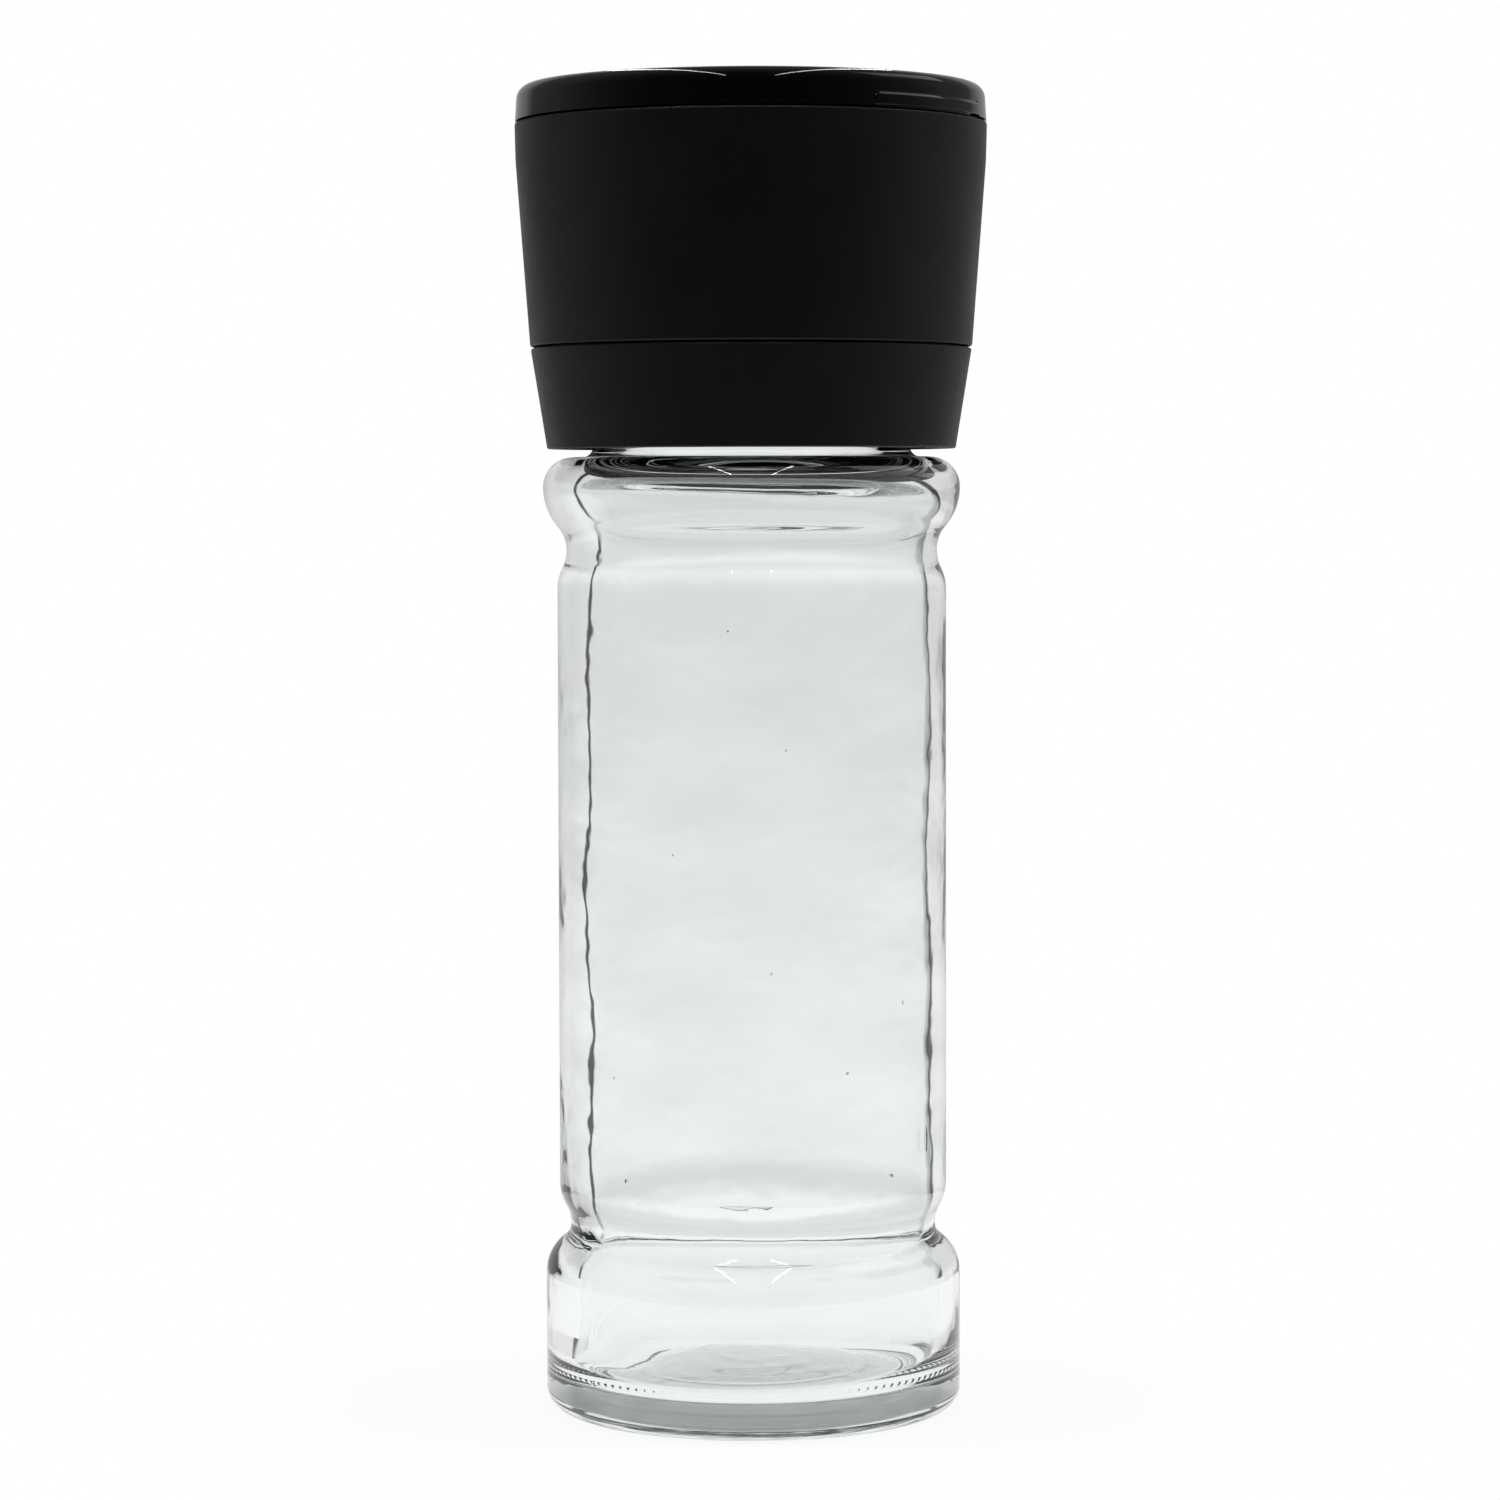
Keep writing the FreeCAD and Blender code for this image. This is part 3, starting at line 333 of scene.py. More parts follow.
# %% Polyethylene foam
foam = new_material("closed_cell_polyethylene_foam")
tree = foam.node_tree
place = add_node(tree, "ShaderNodeTexCoord")
cells = add_node(tree, "ShaderNodeTexVoronoi", {"Scale": grains(0.5)}, {"Vector": place.outputs["Object"]})
colour = add_node(
    tree, "ShaderNodeMix",
    {"data_type": "RGBA", 6: to_linear("#f2f1ec"), 7: to_linear("#dedcd5")},
    {0: cells.outputs["Distance"]})
relief = add_node(
    tree, "ShaderNodeBump", {"Strength": 0.3, "Distance": 0.1 * MM}, {"Height": cells.outputs["Distance"]})
shader = add_node(
    tree, "ShaderNodeBsdfPrincipled", {"Roughness": 0.75, "IOR": 1.5},
    {"Base Color": colour.outputs[2], "Normal": relief.outputs["Normal"]})
add_node(tree, "ShaderNodeOutputMaterial", {}, {"Surface": shader.outputs["BSDF"]})
print("material", foam.name)

# %% [markdown]
# ## Dressing the CAD pieces
# Most CAD pieces already have the real shape, so they only need their finish. The record says which
# material slot each piece takes, and one table here turns slots into the materials above.

# %% Finishes for the CAD pieces
finishes = {
    "clear_glass": glass,
    "matte_black": matte_black,
    "gloss_black": gloss_black,
    "bracket_plastic": acetal,
    "burr_ceramic": ceramic,
    "stainless_steel": steel,
    "seal_foam": foam,
}
for subpart in frame["record"]["subparts"]:
    mesh = frame["nodes"][subpart["node"]].data
    mesh.materials.clear()
    mesh.materials.append(finishes[subpart["material_slot"]])

# %% [markdown]
# ## The glass jar's section
# A blown jar is nearly a turned shape, so its section is enough to start from: down the middle of the
# standing base, up the outside over two grooves and the shoulder, round the lip and down the inside.
# The wavy parts are pairs of arcs that meet smoothly, the same ones as in the CAD. Screw modifiers can
# turn a section too, but here every ring of points is made in code, because the next step
# pushes them about one by one.

# %% Arcs of the section
ARC_STEP = 0.45


def arc_points(start, end, centre):
    radius = math.dist(start, centre)
    first = math.atan2(start[1] - centre[1], start[0] - centre[0])
    last = math.atan2(end[1] - centre[1], end[0] - centre[0])
    sweep = (last - first + math.pi) % (2 * math.pi) - math.pi
    count = max(4, math.ceil(abs(sweep) * radius / ARC_STEP))
    turns = [first + sweep * step / count for step in range(1, count + 1)]
    return [(centre[0] + radius * math.cos(turn), centre[1] + radius * math.sin(turn)) for turn in turns]


def arc_upright(start, end, level):
    # the centre lies at this level, so the glass stands upright there
    near = start[0] ** 2 + (start[1] - level) ** 2
    far = end[0] ** 2 + (end[1] - level) ** 2
    return arc_points(start, end, ((near - far) / (2 * (start[0] - end[0])), level))


def arc_on_axis(start, end):
    near = start[0] ** 2 + start[1] ** 2
    far = end[0] ** 2 + end[1] ** 2
    return arc_points(start, end, (0, (near - far) / (2 * (start[1] - end[1]))))


def s_curve(start, end, share):
    turn = tuple(a + (b - a) * share for a, b in zip(start, end))
    return arc_upright(start, turn, start[1]) + arc_upright(turn, end, end[1])


def straight(start, end, step):
    count = max(1, math.ceil(math.dist(start, end) / step))
    return [tuple(a + (b - a) * place / count for a, b in zip(start, end)) for place in range(1, count + 1)]


print("the arcs have a point every", ARC_STEP, "mm")

# %% Outside of the jar
glass_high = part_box("glass_jar")[1]
BAND = glass_high[0] / MM
NECK_TOP = glass_high[2] / MM
HEEL_ROUND = 2.6
STANDING_WIDTH = 1.6
PUNT_RISE = 2.6
PUNT_INSET = 2.2
PUNT_LIFT = 0.7
BAND_TOP = 15.2
BODY = 21.5
BODY_HEIGHT = 65.8
LOW_GROOVE = 1.25
LOW_GROOVE_ABOVE_BAND = 5.4
BODY_ABOVE_GROOVE = 4.8
HIGH_GROOVE = 1.02
HIGH_GROOVE_ABOVE_BODY = 4.3
NECK = 17.5
MOUTH = 14.3
LIP_ROUND = 0.8
SHOULDER_ROUND = 3.3
SHOULDER_FLAT = 2.25
NECK_HEIGHT = 10.4
NECK_FOOT_ROUND = 1.2
# where along each double curve its two arcs meet
TURN_BELOW_LOW_GROOVE = 0.69
TURN_ABOVE_LOW_GROOVE = 0.45
TURN_BELOW_HIGH_GROOVE = 0.5
TURN_ABOVE_HIGH_GROOVE = 0.36

standing_out = (BAND - HEEL_ROUND, 0.0)
standing_in = (standing_out[0] - STANDING_WIDTH, 0.0)
punt_edge = (standing_in[0] - PUNT_INSET, PUNT_LIFT)
band_foot = (BAND, HEEL_ROUND)
band_top = (BAND, BAND_TOP)
low_groove = (BODY - LOW_GROOVE, band_top[1] + LOW_GROOVE_ABOVE_BAND)
body_foot = (BODY, low_groove[1] + BODY_ABOVE_GROOVE)
body_top = (BODY, body_foot[1] + BODY_HEIGHT)
high_groove = (BODY - HIGH_GROOVE, body_top[1] + HIGH_GROOVE_ABOVE_BODY)
shoulder_flat = (NECK + SHOULDER_FLAT, NECK_TOP - NECK_HEIGHT)
shoulder = (shoulder_flat[0] + SHOULDER_ROUND, shoulder_flat[1] - SHOULDER_ROUND)
neck_foot_out = (NECK + NECK_FOOT_ROUND, shoulder_flat[1])
neck_foot = (NECK, shoulder_flat[1] + NECK_FOOT_ROUND)
neck_top = (NECK, NECK_TOP - LIP_ROUND)

outside = [(0.0, PUNT_RISE)]
outside += arc_on_axis(outside[-1], punt_edge)
outside += straight(punt_edge, standing_in, 0.4)
outside += straight(standing_in, standing_out, 0.2)
outside += arc_upright(standing_out, band_foot, HEEL_ROUND)
outside += straight(band_foot, band_top, 1.5)
outside += s_curve(band_top, low_groove, TURN_BELOW_LOW_GROOVE)
outside += s_curve(low_groove, body_foot, TURN_ABOVE_LOW_GROOVE)
outside += straight(body_foot, body_top, 1.8)
outside += s_curve(body_top, high_groove, TURN_BELOW_HIGH_GROOVE)
outside += s_curve(high_groove, shoulder, TURN_ABOVE_HIGH_GROOVE)
outside += arc_upright(shoulder, shoulder_flat, shoulder[1])
outside += straight(shoulder_flat, neck_foot_out, 0.5)
outside += arc_upright(neck_foot_out, neck_foot, neck_foot[1])
outside += straight(neck_foot, neck_top, 0.3)
print("outside:", len(outside), "points")

# %% Lip and inside of the jar
WALL = 2.85
MOUTH_DEPTH = 10.6
CEILING_ROUND = 2.1
SHOULDER_WALL = 3.1
INNER_SHOULDER_ROUND = 1.4
# the inside follows the grooves less deeply, so the wall is thinner there
HIGH_GROOVE_THINNER = 0.4
LOW_GROOVE_THINNER = 0.7
FLOOR_CORNER = 7.1
FLOOR_ROUND = 3.5
FLOOR_RISE = 6.4
lip_out = (NECK - LIP_ROUND, NECK_TOP)
lip_in = (MOUTH + LIP_ROUND, NECK_TOP)
mouth_top = (MOUTH, neck_top[1])
mouth_foot = (MOUTH, NECK_TOP - MOUTH_DEPTH)
ceiling_in = (MOUTH + CEILING_ROUND, mouth_foot[1] - CEILING_ROUND)
inner_shoulder = (shoulder[0] - SHOULDER_WALL, ceiling_in[1] - INNER_SHOULDER_ROUND)
ceiling_out = (inner_shoulder[0] - INNER_SHOULDER_ROUND, ceiling_in[1])
inner_high = (high_groove[0] - WALL + HIGH_GROOVE_THINNER, high_groove[1])
inner_top = (BODY - WALL, body_top[1])
inner_foot = (BODY - WALL, body_foot[1])
inner_low = (low_groove[0] - WALL + LOW_GROOVE_THINNER, low_groove[1])
inner_band = (BAND - WALL, band_top[1])
floor_corner = (BAND - WALL, FLOOR_CORNER)
floor_edge = (floor_corner[0] - FLOOR_ROUND, FLOOR_CORNER - FLOOR_ROUND)
floor_middle = (0.0, FLOOR_RISE)

inside = arc_upright(neck_top, lip_out, neck_top[1])
inside += straight(lip_out, lip_in, 0.5)
inside += arc_upright(lip_in, mouth_top, mouth_top[1])
bore_start = len(outside) + len(inside)
inside += straight(mouth_top, mouth_foot, 0.8)
inside += arc_upright(mouth_foot, ceiling_in, mouth_foot[1])
inside += straight(ceiling_in, ceiling_out, 0.5)
inside += arc_upright(ceiling_out, inner_shoulder, inner_shoulder[1])
inside += s_curve(inner_shoulder, inner_high, TURN_ABOVE_HIGH_GROOVE)
inside += s_curve(inner_high, inner_top, TURN_BELOW_HIGH_GROOVE)
inside += straight(inner_top, inner_foot, 0.6)
inside += s_curve(inner_foot, inner_low, TURN_ABOVE_LOW_GROOVE)
inside += s_curve(inner_low, inner_band, TURN_BELOW_LOW_GROOVE)
inside += straight(inner_band, floor_corner, 1.2)
inside += arc_upright(floor_corner, floor_edge, floor_corner[1])
inside += arc_on_axis(floor_edge, floor_middle)
print("lip and inside:", len(inside), "points")

# %% [markdown]
# ## What the blower and the mould leave
# The mould leaves two hair-fine seams on opposite sides, a knurled standing ring that keeps the hot
# base from checking, and a faint circle under the base where the mould's plug met it. The air leaves an
# inside that is a little off centre and wavers, which draws the dark wandering lines down the
# walls. The neck carries a screw thread of one turn and a third. Each is a small push of a point, worked
# out from its angle and its height.

# %% Pushes on the points of the glass
CAMERA_ANGLE = CAMERA_AZIMUTH - math.pi / 2
SEAM_ANGLES = [CAMERA_ANGLE + math.radians(-49), CAMERA_ANGLE + math.radians(131)]
SEAM_HEIGHT = 0.012
SEAM_HALF = math.radians(0.8)
KNURLS = 97
KNURL_DEPTH = 0.3
BASE_CIRCLE = 11.5
BASE_CIRCLE_RISE = 0.14
BASE_CIRCLE_HALF = 0.6
BORE_SHIFT = 0.6
THREAD_PITCH = 4.2
THREAD_TURNS = 1.35
THREAD_START = 108.9
THREAD_HALF = 1.1
THREAD_HEIGHT = 1.05
THREAD_FADE = 0.06
# height in mm, waves round the bore, mm up the bore for one radian, phase
BORE_WAVES = [(0.06, 2, 17, 0), (0.05, 3, -9, 1.3), (0.035, 5, 4.1, 0.6), (0.02, 2, 1.7, 0)]
# height and grain in mm
BORE_SHIVERS = [(0.016, 1.7), (0.012, 0.8)]
SHIVER_RADIUS = 9.0
CHILL_RINGS = 0.03
CHILL_GRAIN = 0.04


def smooth(share):
    share = min(max(share, 0.0), 1.0)
    return share * share * (3 - 2 * share)


def thread_rise(angle, level):
    turn = (angle / (2 * math.pi)) % 1
    best = 0.0
    for lap in range(3):
        along = turn + lap
        fade = smooth(along / THREAD_FADE) * smooth((THREAD_TURNS - along) / THREAD_FADE)
        off = abs(level - THREAD_START - THREAD_PITCH * along)
        best = max(best, fade * smooth((THREAD_HALF - off) / (0.7 * THREAD_HALF)))
    return THREAD_HEIGHT * best


def from_seam(angle):
    return min(abs((angle - seam + math.pi) % (2 * math.pi) - math.pi) for seam in SEAM_ANGLES)


def seam_rise(angle):
    return SEAM_HEIGHT * smooth(1 - from_seam(angle) / SEAM_HALF)


def bore_waver(angle, level):
    # slow swells and quicker ripples, with no two in step, and a fine shiver that repeats nowhere
    waves = sum(
        height * math.sin(count * angle + level / climb + phase)
        for height, count, climb, phase in BORE_WAVES)
    spot = Vector((math.cos(angle), math.sin(angle), 0)) * SHIVER_RADIUS + Vector((0, 0, level))
    return waves + sum(height * noise.noise(spot / grain) for height, grain in BORE_SHIVERS)


def floor_wrinkle(radius, angle):
    # chill marks, where the glass began to stiffen before it was blown out
    spot = Vector((radius * math.cos(angle), radius * math.sin(angle), 0))
    rings = math.sin(1.7 * radius + 3.0 * noise.noise(spot / 6.0))
    return CHILL_RINGS * rings + CHILL_GRAIN * noise.noise(spot / 2.5)


def pushed_outside(radius, level, angle):
    if radius < standing_in[0] and level < PUNT_RISE + 0.1:
        ring = BASE_CIRCLE_RISE * smooth(1 - abs(radius - BASE_CIRCLE) / BASE_CIRCLE_HALF)
        return radius, level - ring
    if level < 0.3:
        across = (radius - standing_in[0]) / STANDING_WIDTH
        edge = smooth(across / 0.3) * smooth((1.15 - across) / 0.3)
        return radius, level + KNURL_DEPTH * edge * (0.5 + 0.5 * math.cos(KNURLS * angle))
    if radius <= NECK and level > neck_foot[1] + 0.2:
        return radius + thread_rise(angle, level), level
    if level <= band_top[1]:
        return radius + seam_rise(angle), level
    return radius, level


def pushed_inside(radius, level, angle):
    if radius < floor_edge[0] and level < floor_corner[1]:
        return radius, level + floor_wrinkle(radius, angle) * smooth((floor_edge[0] - radius) / 3)
    share = smooth((mouth_foot[1] - level) / 6) * smooth((level - floor_edge[1]) / 6)
    shift = BORE_SHIFT * math.cos(angle - CAMERA_ANGLE - math.pi / 2)
    return radius + share * (bore_waver(angle, level) + shift), level


print("thread from", THREAD_START, "to", round(THREAD_START + THREAD_PITCH * THREAD_TURNS, 2), "mm up")

# %% [markdown]
# ## Turning the glass
# Now the section is turned: one ring of vertices for each point of the section, with two poles on the
# axis. A few extra angles beside each seam keep the seam thin. Seeds, the little bubbles left in molten
# glass, are small closed shells whose faces look inwards, because glass ends at them as it does at the
# jar's own skin. Those in front sit where the photograph shows specks and one long blister.

# %% Turn the jar
ANGLE_STEPS = 360
angles = [2 * math.pi * step / ANGLE_STEPS for step in range(ANGLE_STEPS)]
angles = [angle for angle in angles if from_seam(angle) > 1.3 * SEAM_HALF]
for seam in SEAM_ANGLES:
    angles += [(seam + SEAM_HALF * side) % (2 * math.pi) for side in (-1, -0.5, 0, 0.5, 1)]
angles = sorted(angles)

shell = bmesh.new()
section = outside + inside
rings = []
for number, (radius, level) in enumerate(section):
    if radius == 0.0:
        rings.append([shell.verts.new((0, 0, level * MM))])
        continue
    push = pushed_outside if number < bore_start else pushed_inside
    ring = []
    for angle in angles:
        out, up = push(radius, level, angle)
        ring.append(shell.verts.new(at_angle(out, angle, up)))
    rings.append(ring)

for below, above in zip(rings, rings[1:]):
    for here in range(len(angles)):
        there = (here + 1) % len(angles)
        if len(below) == 1:
            shell.faces.new((below[0], above[there], above[here]))
        elif len(above) == 1:
            shell.faces.new((below[here], below[there], above[0]))
        else:
            shell.faces.new((below[here], below[there], above[there], above[here]))
print("turned glass:", len(shell.verts), "vertices")

# %% Seeds in the glass
# degrees right of the camera, height, distance from the axis, half width, half height
SEEDS = [
    (64.0, 31.0, 20.3, 0.3, 1.4),
    (-41.0, 27.4, 20.4, 0.2, 0.22),
    (45.5, 27.8, 20.5, 0.24, 0.2),
    (29.0, 39.4, 20.6, 0.14, 0.16),
    (-7.0, 87.0, 20.7, 0.12, 0.12),
    (5.5, 50.4, 20.6, 0.1, 0.14),
    (-24.0, 63.0, 20.6, 0.1, 0.1),
    (118.0, 44.0, 20.5, 0.16, 0.3),
    (171.0, 72.0, 20.4, 0.15, 0.15),
    (-112.0, 36.0, 20.5, 0.2, 0.2),
]
for right_of_camera, level, away, half_width, half_height in SEEDS:
    angle = CAMERA_ANGLE + math.radians(right_of_camera)
    bubble = bmesh.ops.create_uvsphere(shell, u_segments=16, v_segments=10, radius=1)["verts"]
    for vertex in bubble:
        vertex.co = vertex.co * Vector((half_width, half_width, half_height)) * MM
        vertex.co += at_angle(away, angle, level)
    faces = {face for vertex in bubble for face in vertex.link_faces}
    bmesh.ops.reverse_faces(shell, faces=list(faces))

for face in shell.faces:
    face.smooth = True
jar = make_object("blown_glass_jar", shell, glass)
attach(jar, "jar")
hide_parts("glass_jar")
print("glass jar:", len(jar.data.polygons), "faces with", len(SEEDS), "seeds")

# %% [markdown]
# ## The collar's screw thread
# The collar grips the glass with one turn of thread inside its skirt. The CAD leaves the thread out and
# couples the turn to the rise, so here it is dressed on: a ridge swept up a helix of the same pitch,
# half a pitch off the glass thread, so that the two ridges pass in each other's valleys.

# %% Collar thread
COLLAR_BORE = 18.8
COLLAR_THREAD_TURNS = 1.1
COLLAR_THREAD_REACH = 1.0
COLLAR_THREAD_HALF = 0.75
COLLAR_CREST_SHARE = 0.35
COLLAR_THREAD_STEPS = 110
ROOTED = 0.15
ridge = bmesh.new()
sections = []
for step in range(COLLAR_THREAD_STEPS + 1):
    along = COLLAR_THREAD_TURNS * step / COLLAR_THREAD_STEPS
    fade = smooth(along / THREAD_FADE) * smooth((COLLAR_THREAD_TURNS - along) / THREAD_FADE)
    angle = 2 * math.pi * along
    level = THREAD_START + THREAD_PITCH * (along + 0.5)
    reach = COLLAR_THREAD_REACH * max(fade, 0.05)
    corners = [
        (COLLAR_BORE + ROOTED, -COLLAR_THREAD_HALF),
        (COLLAR_BORE, -COLLAR_THREAD_HALF),
        (COLLAR_BORE - reach, -COLLAR_CREST_SHARE * COLLAR_THREAD_HALF),
        (COLLAR_BORE - reach, COLLAR_CREST_SHARE * COLLAR_THREAD_HALF),
        (COLLAR_BORE, COLLAR_THREAD_HALF),
        (COLLAR_BORE + ROOTED, COLLAR_THREAD_HALF),
    ]
    sections.append([ridge.verts.new(at_angle(out, angle, level + up)) for out, up in corners])
skin_sections(ridge, sections)
collar_thread = make_object("collar_thread", ridge, matte_black)
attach(collar_thread, "collar")
print("collar thread:", len(collar_thread.data.polygons), "faces")

# %% [markdown]
# ## The lid's thumb tab
# A low tab on the lid's lower edge gives the thumb something to push. It stands a hair proud of the lid,
# and its sloping rim mirrors a light overhead as one thin line. The CAD has a shallow pocket at this
# place, so the tab is made here as a plug for it. It could be a bevelled block bent round the lid. Here
# it is a grid of points round the lid instead, each pushed out by how far inside the tab's edge it lies,
# because that slopes the top and both rounded corners alike.

# %% Thumb tab
LID_HEIGHT = 4.0
TAB_HALF_WIDTH = 9.95
TAB_HEIGHT = 1.5
TAB_FOOT = 0.15
TAB_CORNER = 0.8
TAB_RIM = 0.27
TAB_ROLL = 0.1
TAB_STEEP = 0.84
TAB_SHALLOW = 0.49
TAB_ROOT = 25.3
ROOT_MARGIN = 0.05
BOX_MARGIN = 0.005
TAB_SPARE = 0.2
FINE_STEP = 0.04
COARSE_STEP = 0.25
tab_radius = -cad_box[0][1] / MM - BOX_MARGIN
tab_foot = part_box("lid")[1][2] / MM - LID_HEIGHT + TAB_FOOT


def inside_edge(across, up):
    # distance in from the tab's edge, which has two round upper corners and no lower edge
    side = TAB_HALF_WIDTH - TAB_CORNER - abs(across)
    top = TAB_HEIGHT - TAB_FOOT - TAB_CORNER - up
    if side < 0 and top < 0:
        return TAB_CORNER - math.hypot(side, top)
    return TAB_CORNER + min(side, top)


def tab_rise(inward):
    # a rim that is steep at the edge, shallower further in, and rolls over into the flat
    rim = min(inward, TAB_RIM)
    roll = min(max(inward - TAB_RIM, 0.0), TAB_ROLL)
    bend = (TAB_STEEP - TAB_SHALLOW) / (2 * TAB_RIM) if inward > 0 else 0.0
    return TAB_STEEP * rim - bend * rim ** 2 + TAB_SHALLOW * (roll - roll ** 2 / (2 * TAB_ROLL))


def spread(start, end, step):
    count = math.ceil((end - start) / step)
    return [start + (end - start) * place / count for place in range(1, count + 1)]


tab_full = tab_rise(TAB_RIM + TAB_ROLL)
tab_end = TAB_HALF_WIDTH + TAB_SPARE
tab_top = TAB_HEIGHT - TAB_FOOT
plain_end = TAB_HALF_WIDTH - TAB_CORNER
steps_round = [-tab_end] + spread(-tab_end, -plain_end, FINE_STEP)
steps_round += spread(-plain_end, plain_end, COARSE_STEP) + spread(plain_end, tab_end, FINE_STEP)
steps_up = [0.0] + spread(0.0, tab_top - TAB_CORNER, COARSE_STEP)
steps_up += spread(tab_top - TAB_CORNER, tab_top + TAB_SPARE, FINE_STEP)
tab = bmesh.new()
sections = []
for across in steps_round:
    angle = across / tab_radius - math.pi / 2
    corners = [(TAB_ROOT, 0.0)]
    for up in steps_up:
        out = tab_radius - tab_full + tab_rise(inside_edge(across, up))
        corners.append((max(out, TAB_ROOT + ROOT_MARGIN), up))
    corners.append((TAB_ROOT, steps_up[-1]))
    sections.append([tab.verts.new(at_angle(out, angle, tab_foot + up)) for out, up in corners])
skin_sections(tab, sections)
for face in tab.faces:
    # only the outer face is smooth: its points all lie further out than the root
    face.smooth = all(vertex.co.xy.length > (TAB_ROOT + ROOT_MARGIN / 2) * MM for vertex in face.verts)
thumb_tab = make_object("thumb_tab", tab, gloss_black)
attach(thumb_tab, "lid")
print("thumb tab:", len(thumb_tab.data.polygons), "faces,", round(tab_full, 3), "mm rim")

# %% [markdown]
# ## Floor
# The photograph is cut out on white. A pale disc carries the contact shadow close to the jar, and away
# from it the disc turns to plain white light, so no horizon shows behind the glass.

# %% Pale floor
FLOOR_RADIUS = 130.0
FADE_START = 26.0
FADE_END = 75.0
WHITE_NEAR = 0.92
FLOOR_DROP = 0.05
floor_paint = new_material("pale_studio_floor")
tree = floor_paint.node_tree
place = add_node(tree, "ShaderNodeTexCoord")
away = add_node(tree, "ShaderNodeVectorMath", {"operation": "LENGTH"}, {0: place.outputs["Object"]})
fade = add_node(
    tree, "ShaderNodeMapRange",
    {"interpolation_type": "SMOOTHSTEP", "From Min": FADE_START * MM, "From Max": FADE_END * MM,
     "To Min": WHITE_NEAR},
    {"Value": away.outputs["Value"]})
paint = add_node(tree, "ShaderNodeBsdfDiffuse", {"Color": to_linear("#f7f7f6")})
white = add_node(tree, "ShaderNodeEmission", {"Color": (1, 1, 1, 1), "Strength": 1.0})
blend = add_node(
    tree, "ShaderNodeMixShader", {},
    {0: fade.outputs["Result"], 1: paint.outputs["BSDF"], 2: white.outputs["Emission"]})
add_node(tree, "ShaderNodeOutputMaterial", {}, {"Surface": blend.outputs["Shader"]})

disc = bmesh.new()
bmesh.ops.create_circle(disc, cap_ends=True, segments=96, radius=FLOOR_RADIUS * MM)
floor = make_object("floor", disc, floor_paint)
floor.location.z = -FLOOR_DROP * MM
print("floor of", 2 * FLOOR_RADIUS, "mm")

# %% [markdown]
# ## A white room with two dark flags
# Clear glass has no colour of its own: it shows the room, bent. Photographers set it before a bright
# backdrop and stand a dark flag on either side of that, and the glass draws dark lines where its
# walls bend the view sideways far enough to meet a flag. The world here is such a room. Seen straight by
# the camera it is plain white. Seen through glass it is a little dimmer, with a narrow flag on either
# side. The flags stand behind the jar only, and only light that has stayed in one wall meets them:
# light that crosses the whole jar would draw them a second time. Mirrors and dull surfaces see a
# room that is dark where the camera stands, as a photographer's end of a studio is.

# %% World


def room(tree, direction, stops):
    # stops: how far a direction agrees with the one that is measured, from -1 to 1, and how bright it is
    ramp = add_node(tree, "ShaderNodeValToRGB", {}, {"Fac": direction})
    elements = ramp.color_ramp.elements
    while len(elements) < len(stops):
        elements.new(0.5)
    for element, (agreement, bright) in zip(elements, stops):
        element.position = (agreement + 1) / 2
        element.color = (bright, bright, bright, 1)
    return ramp.outputs["Color"]


BACKDROP_DIM = 0.8
DIM_START = -0.155
DIM_END = -0.03
FLAG_CROSSINGS = 3.0
world = bpy.data.worlds.new("studio_room")
bpy.context.scene.world = world
world.use_nodes = True
tree = world.node_tree
tree.nodes.clear()
place = add_node(tree, "ShaderNodeTexCoord")
level = add_node(
    tree, "ShaderNodeVectorMath", {"operation": "MULTIPLY", 1: (1, 1, 0)}, {0: place.outputs["Generated"]})
compass = add_node(tree, "ShaderNodeVectorMath", {"operation": "NORMALIZE"}, {0: level.outputs["Vector"]})
turned = add_node(
    tree, "ShaderNodeVectorMath", {"operation": "DOT_PRODUCT", 1: camera_right},
    {0: compass.outputs["Vector"]})
sideways = add_node(
    tree, "ShaderNodeMapRange", {"From Min": -1.0, "From Max": 1.0}, {"Value": turned.outputs["Value"]})
agreement = add_node(
    tree, "ShaderNodeVectorMath", {"operation": "DOT_PRODUCT", 1: -towards_camera},
    {0: place.outputs["Generated"]})
direction = add_node(
    tree, "ShaderNodeMapRange", {"From Min": -1.0, "From Max": 1.0}, {"Value": agreement.outputs["Value"]})
through = room(tree, sideways.outputs["Result"], [
    (-0.79, 1.0), (-0.775, 0.05), (-0.745, 0.05), (-0.73, 1.0),
    (0.66, 1.0), (0.69, 0.05), (0.76, 0.05), (0.79, 1.0)])
around = room(tree, direction.outputs["Result"], [
    (-1.0, 0.03), (-0.6, 0.06), (-0.15, 0.17), (0.3, 0.3), (0.62, 0.25), (0.69, 0.25), (0.8, 0.6)])
behind = add_node(
    tree, "ShaderNodeMapRange", {"From Min": 0.0, "From Max": 0.2}, {"Value": agreement.outputs["Value"]})
ray = add_node(tree, "ShaderNodeLightPath")
in_wall = add_node(
    tree, "ShaderNodeMath", {"operation": "LESS_THAN", 1: FLAG_CROSSINGS},
    {0: ray.outputs["Transmission Depth"]})
flagged = add_node(
    tree, "ShaderNodeMath", {"operation": "MULTIPLY"},
    {0: behind.outputs["Result"], 1: in_wall.outputs["Value"]})
backdrop = add_node(
    tree, "ShaderNodeMix", {"data_type": "RGBA", 6: (1, 1, 1, 1)},
    {0: flagged.outputs["Value"], 7: through})
upward = add_node(tree, "ShaderNodeSeparateXYZ", {}, {"Vector": place.outputs["Generated"]})
dim = add_node(
    tree, "ShaderNodeMapRange",
    {"From Min": DIM_START, "From Max": DIM_END, "To Min": 1.0, "To Max": BACKDROP_DIM},
    {"Value": upward.outputs["Z"]})
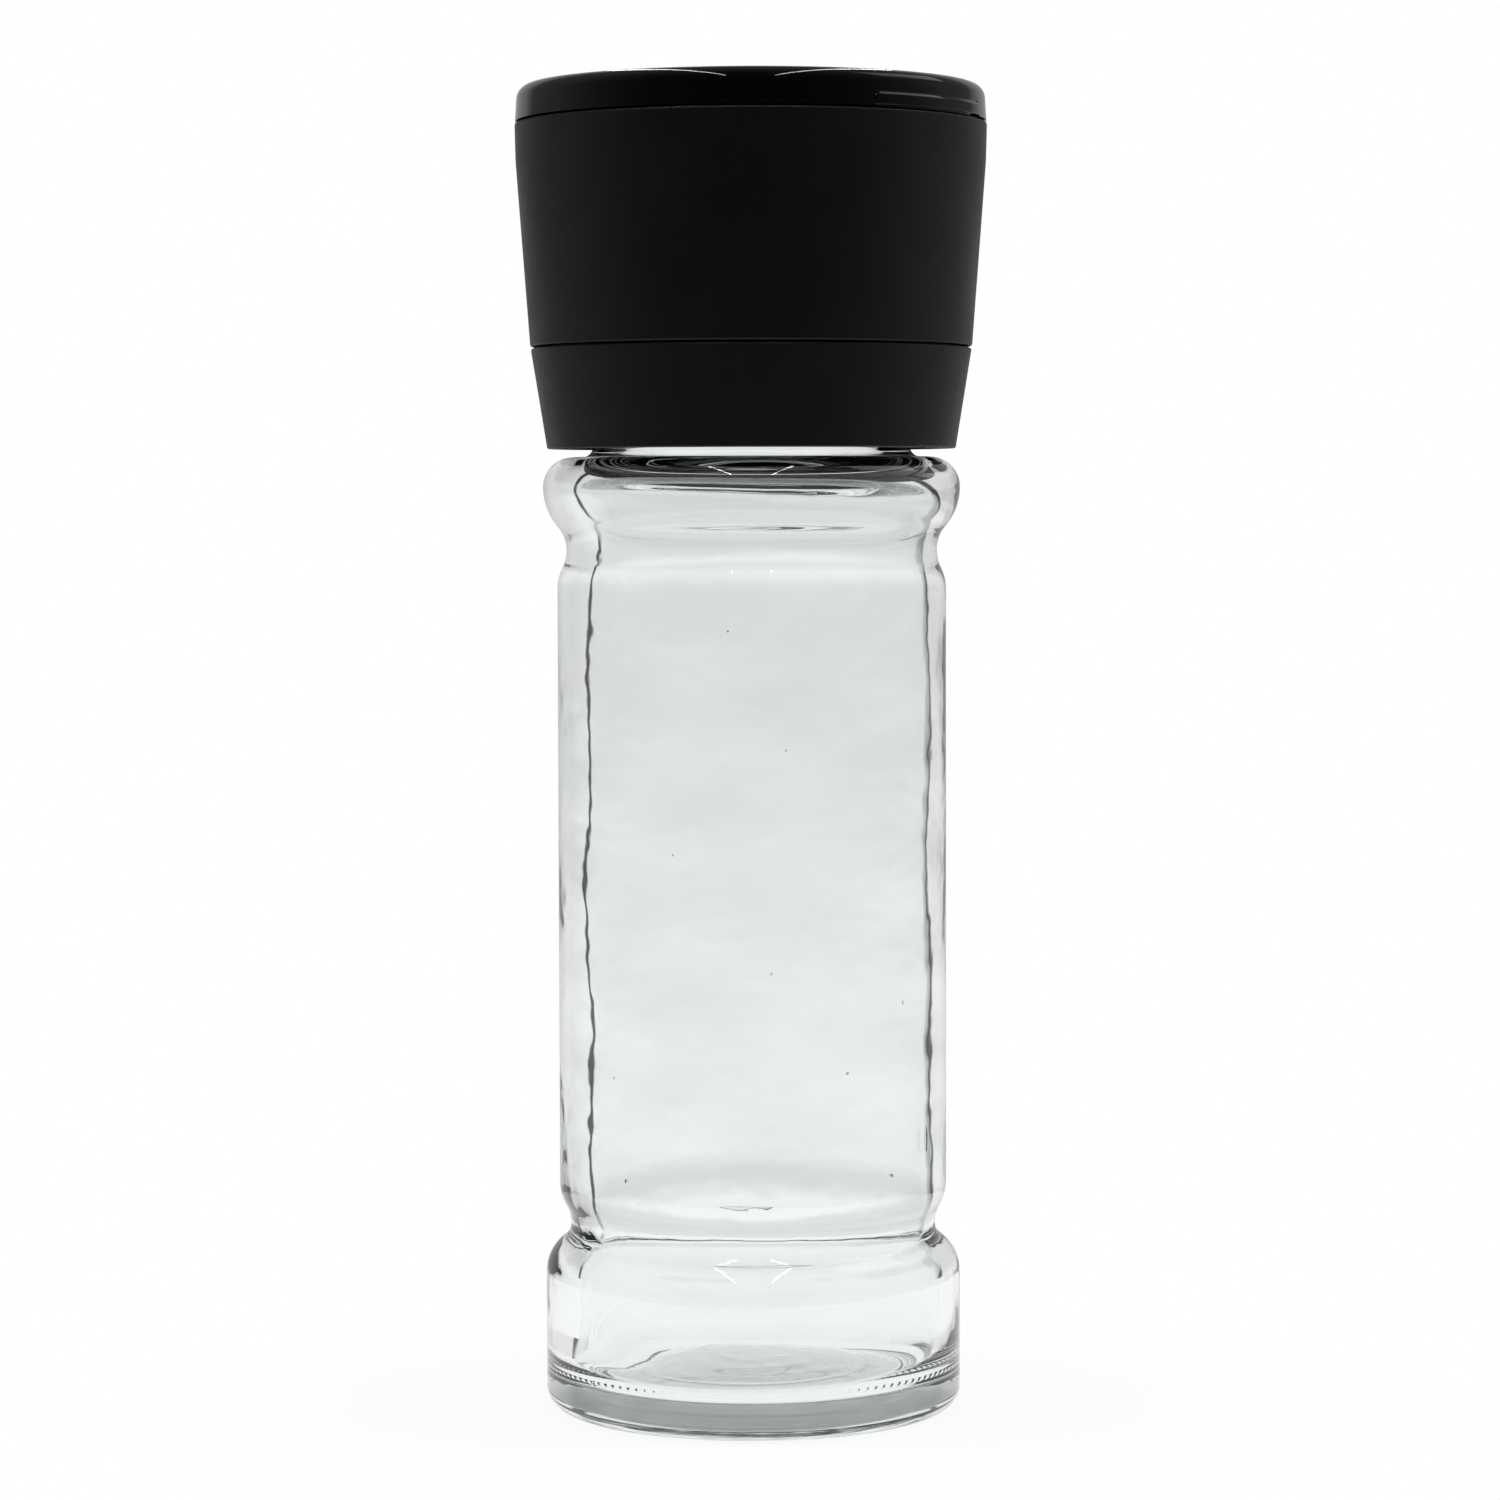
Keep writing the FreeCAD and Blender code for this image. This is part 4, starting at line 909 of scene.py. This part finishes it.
seen = add_node(
    tree, "ShaderNodeMix", {"data_type": "RGBA"},
    {0: ray.outputs["Is Transmission Ray"], 6: around, 7: backdrop.outputs[2]})
dimmed = add_node(
    tree, "ShaderNodeMix", {"data_type": "RGBA", "blend_type": "MULTIPLY", 0: 1.0},
    {6: seen.outputs[2], 7: dim.outputs["Result"]})
colour = add_node(
    tree, "ShaderNodeMix", {"data_type": "RGBA", 7: (1, 1, 1, 1)},
    {0: ray.outputs["Is Camera Ray"], 6: dimmed.outputs[2]})
light = add_node(tree, "ShaderNodeBackground", {"Strength": 1.0}, {"Color": colour.outputs[2]})
add_node(tree, "ShaderNodeOutputWorld", {}, {"Surface": light.outputs["Background"]})
print("world", world.name)

# %% [markdown]
# ## Soft lamps
# Two tall soft boxes stand on either side of the jar and graze the black barrel, so its edges turn
# grey while its middle stays dark. A third hangs overhead for the lid.

# %% Lamps
AIM_LEVEL = 110.0


def soft_box(name, right, away, level, width, height, power):
    lamp = bpy.data.objects.new(name, bpy.data.lights.new(name, "AREA"))
    lamp.data.shape = "RECTANGLE"
    lamp.data.size = width * MM
    lamp.data.size_y = height * MM
    lamp.data.energy = power
    lamp.location = (camera_right * right + towards_camera * away) * MM
    lamp.location.z = level * MM
    aim = Vector((0, 0, AIM_LEVEL * MM)) - lamp.location
    lamp.rotation_euler = aim.to_track_quat("-Z", "Y").to_euler()
    bpy.context.collection.objects.link(lamp)
    return lamp


# mm right of the jar, towards the camera and up, width and height in mm, watts
lamps = [
    soft_box("left_soft_box", -600, 60, 240, 260, 500, 2.2),
    soft_box("right_soft_box", 600, 60, 240, 260, 500, 2.6),
    soft_box("top_soft_box", 0, 100, 800, 500, 400, 3.0),
]
for lamp in lamps:
    lamp.visible_camera = False
    lamp.visible_glossy = False
    lamp.visible_transmission = False
print("lamps:", [lamp.name for lamp in lamps])

# %% [markdown]
# Two strips of light diodes run along the studio's ceiling. They give little light, but the polished
# lid and the glass mirror them as two fine lines.

# %% Diode strips
STRIP_LEVEL = 420.0
STRIP_RIGHT = 80.0
STRIP_NEAR = 335.0
DIODE_GAP = 14.0
DIODE_COUNT = 64
DIODE_RADIUS = 4.0
DIODE_GLOW = 40.0


def in_room(right, near, up):
    return camera_right * right + towards_camera * near + Vector((0, 0, up))


def show_in_mirrors_only(thing):
    thing.visible_camera = False
    thing.visible_diffuse = False
    thing.visible_transmission = False


strip = bmesh.new()
for side in (-1, 1):
    for number in range(DIODE_COUNT):
        middle = in_room(side * STRIP_RIGHT, STRIP_NEAR - number * DIODE_GAP, STRIP_LEVEL)
        diode = bmesh.ops.create_circle(strip, cap_ends=True, segments=12, radius=DIODE_RADIUS * MM)
        bmesh.ops.translate(strip, verts=diode["verts"], vec=middle * MM)
diode_strips = make_object("diode_strips", strip, glow_material("diode_glow", DIODE_GLOW))
show_in_mirrors_only(diode_strips)
print("diodes:", 2 * DIODE_COUNT)

# %% [markdown]
# A small white card hangs high on the right. Only polished surfaces see it: the lid's rounded edge and
# the sloping rim of its thumb tab each draw it as a thin pale line.

# %% Edge card
CARD_PLACE = (389.0, -152.0, 574.0)
CARD_ALONG = (0.126, -0.893, -0.436)
CARD_LENGTH = 360.0
CARD_WIDTH = 200.0
CARD_GLOW = 1.2
middle = in_room(*CARD_PLACE)
along = in_room(*CARD_ALONG).normalized()
lid_middle = Vector((0, 0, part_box("lid")[1][2] / MM))
across = along.cross(middle - lid_middle).normalized()
card = bmesh.new()
card.faces.new([
    card.verts.new((middle + along * CARD_LENGTH * a / 2 + across * CARD_WIDTH * b / 2) * MM)
    for a, b in ((-1, -1), (1, -1), (1, 1), (-1, 1))])
edge_card = make_object("edge_card", card, glow_material("edge_card_glow", CARD_GLOW))
show_in_mirrors_only(edge_card)
edge_card.visible_shadow = False
print("edge card at", [round(side) for side in middle], "mm")
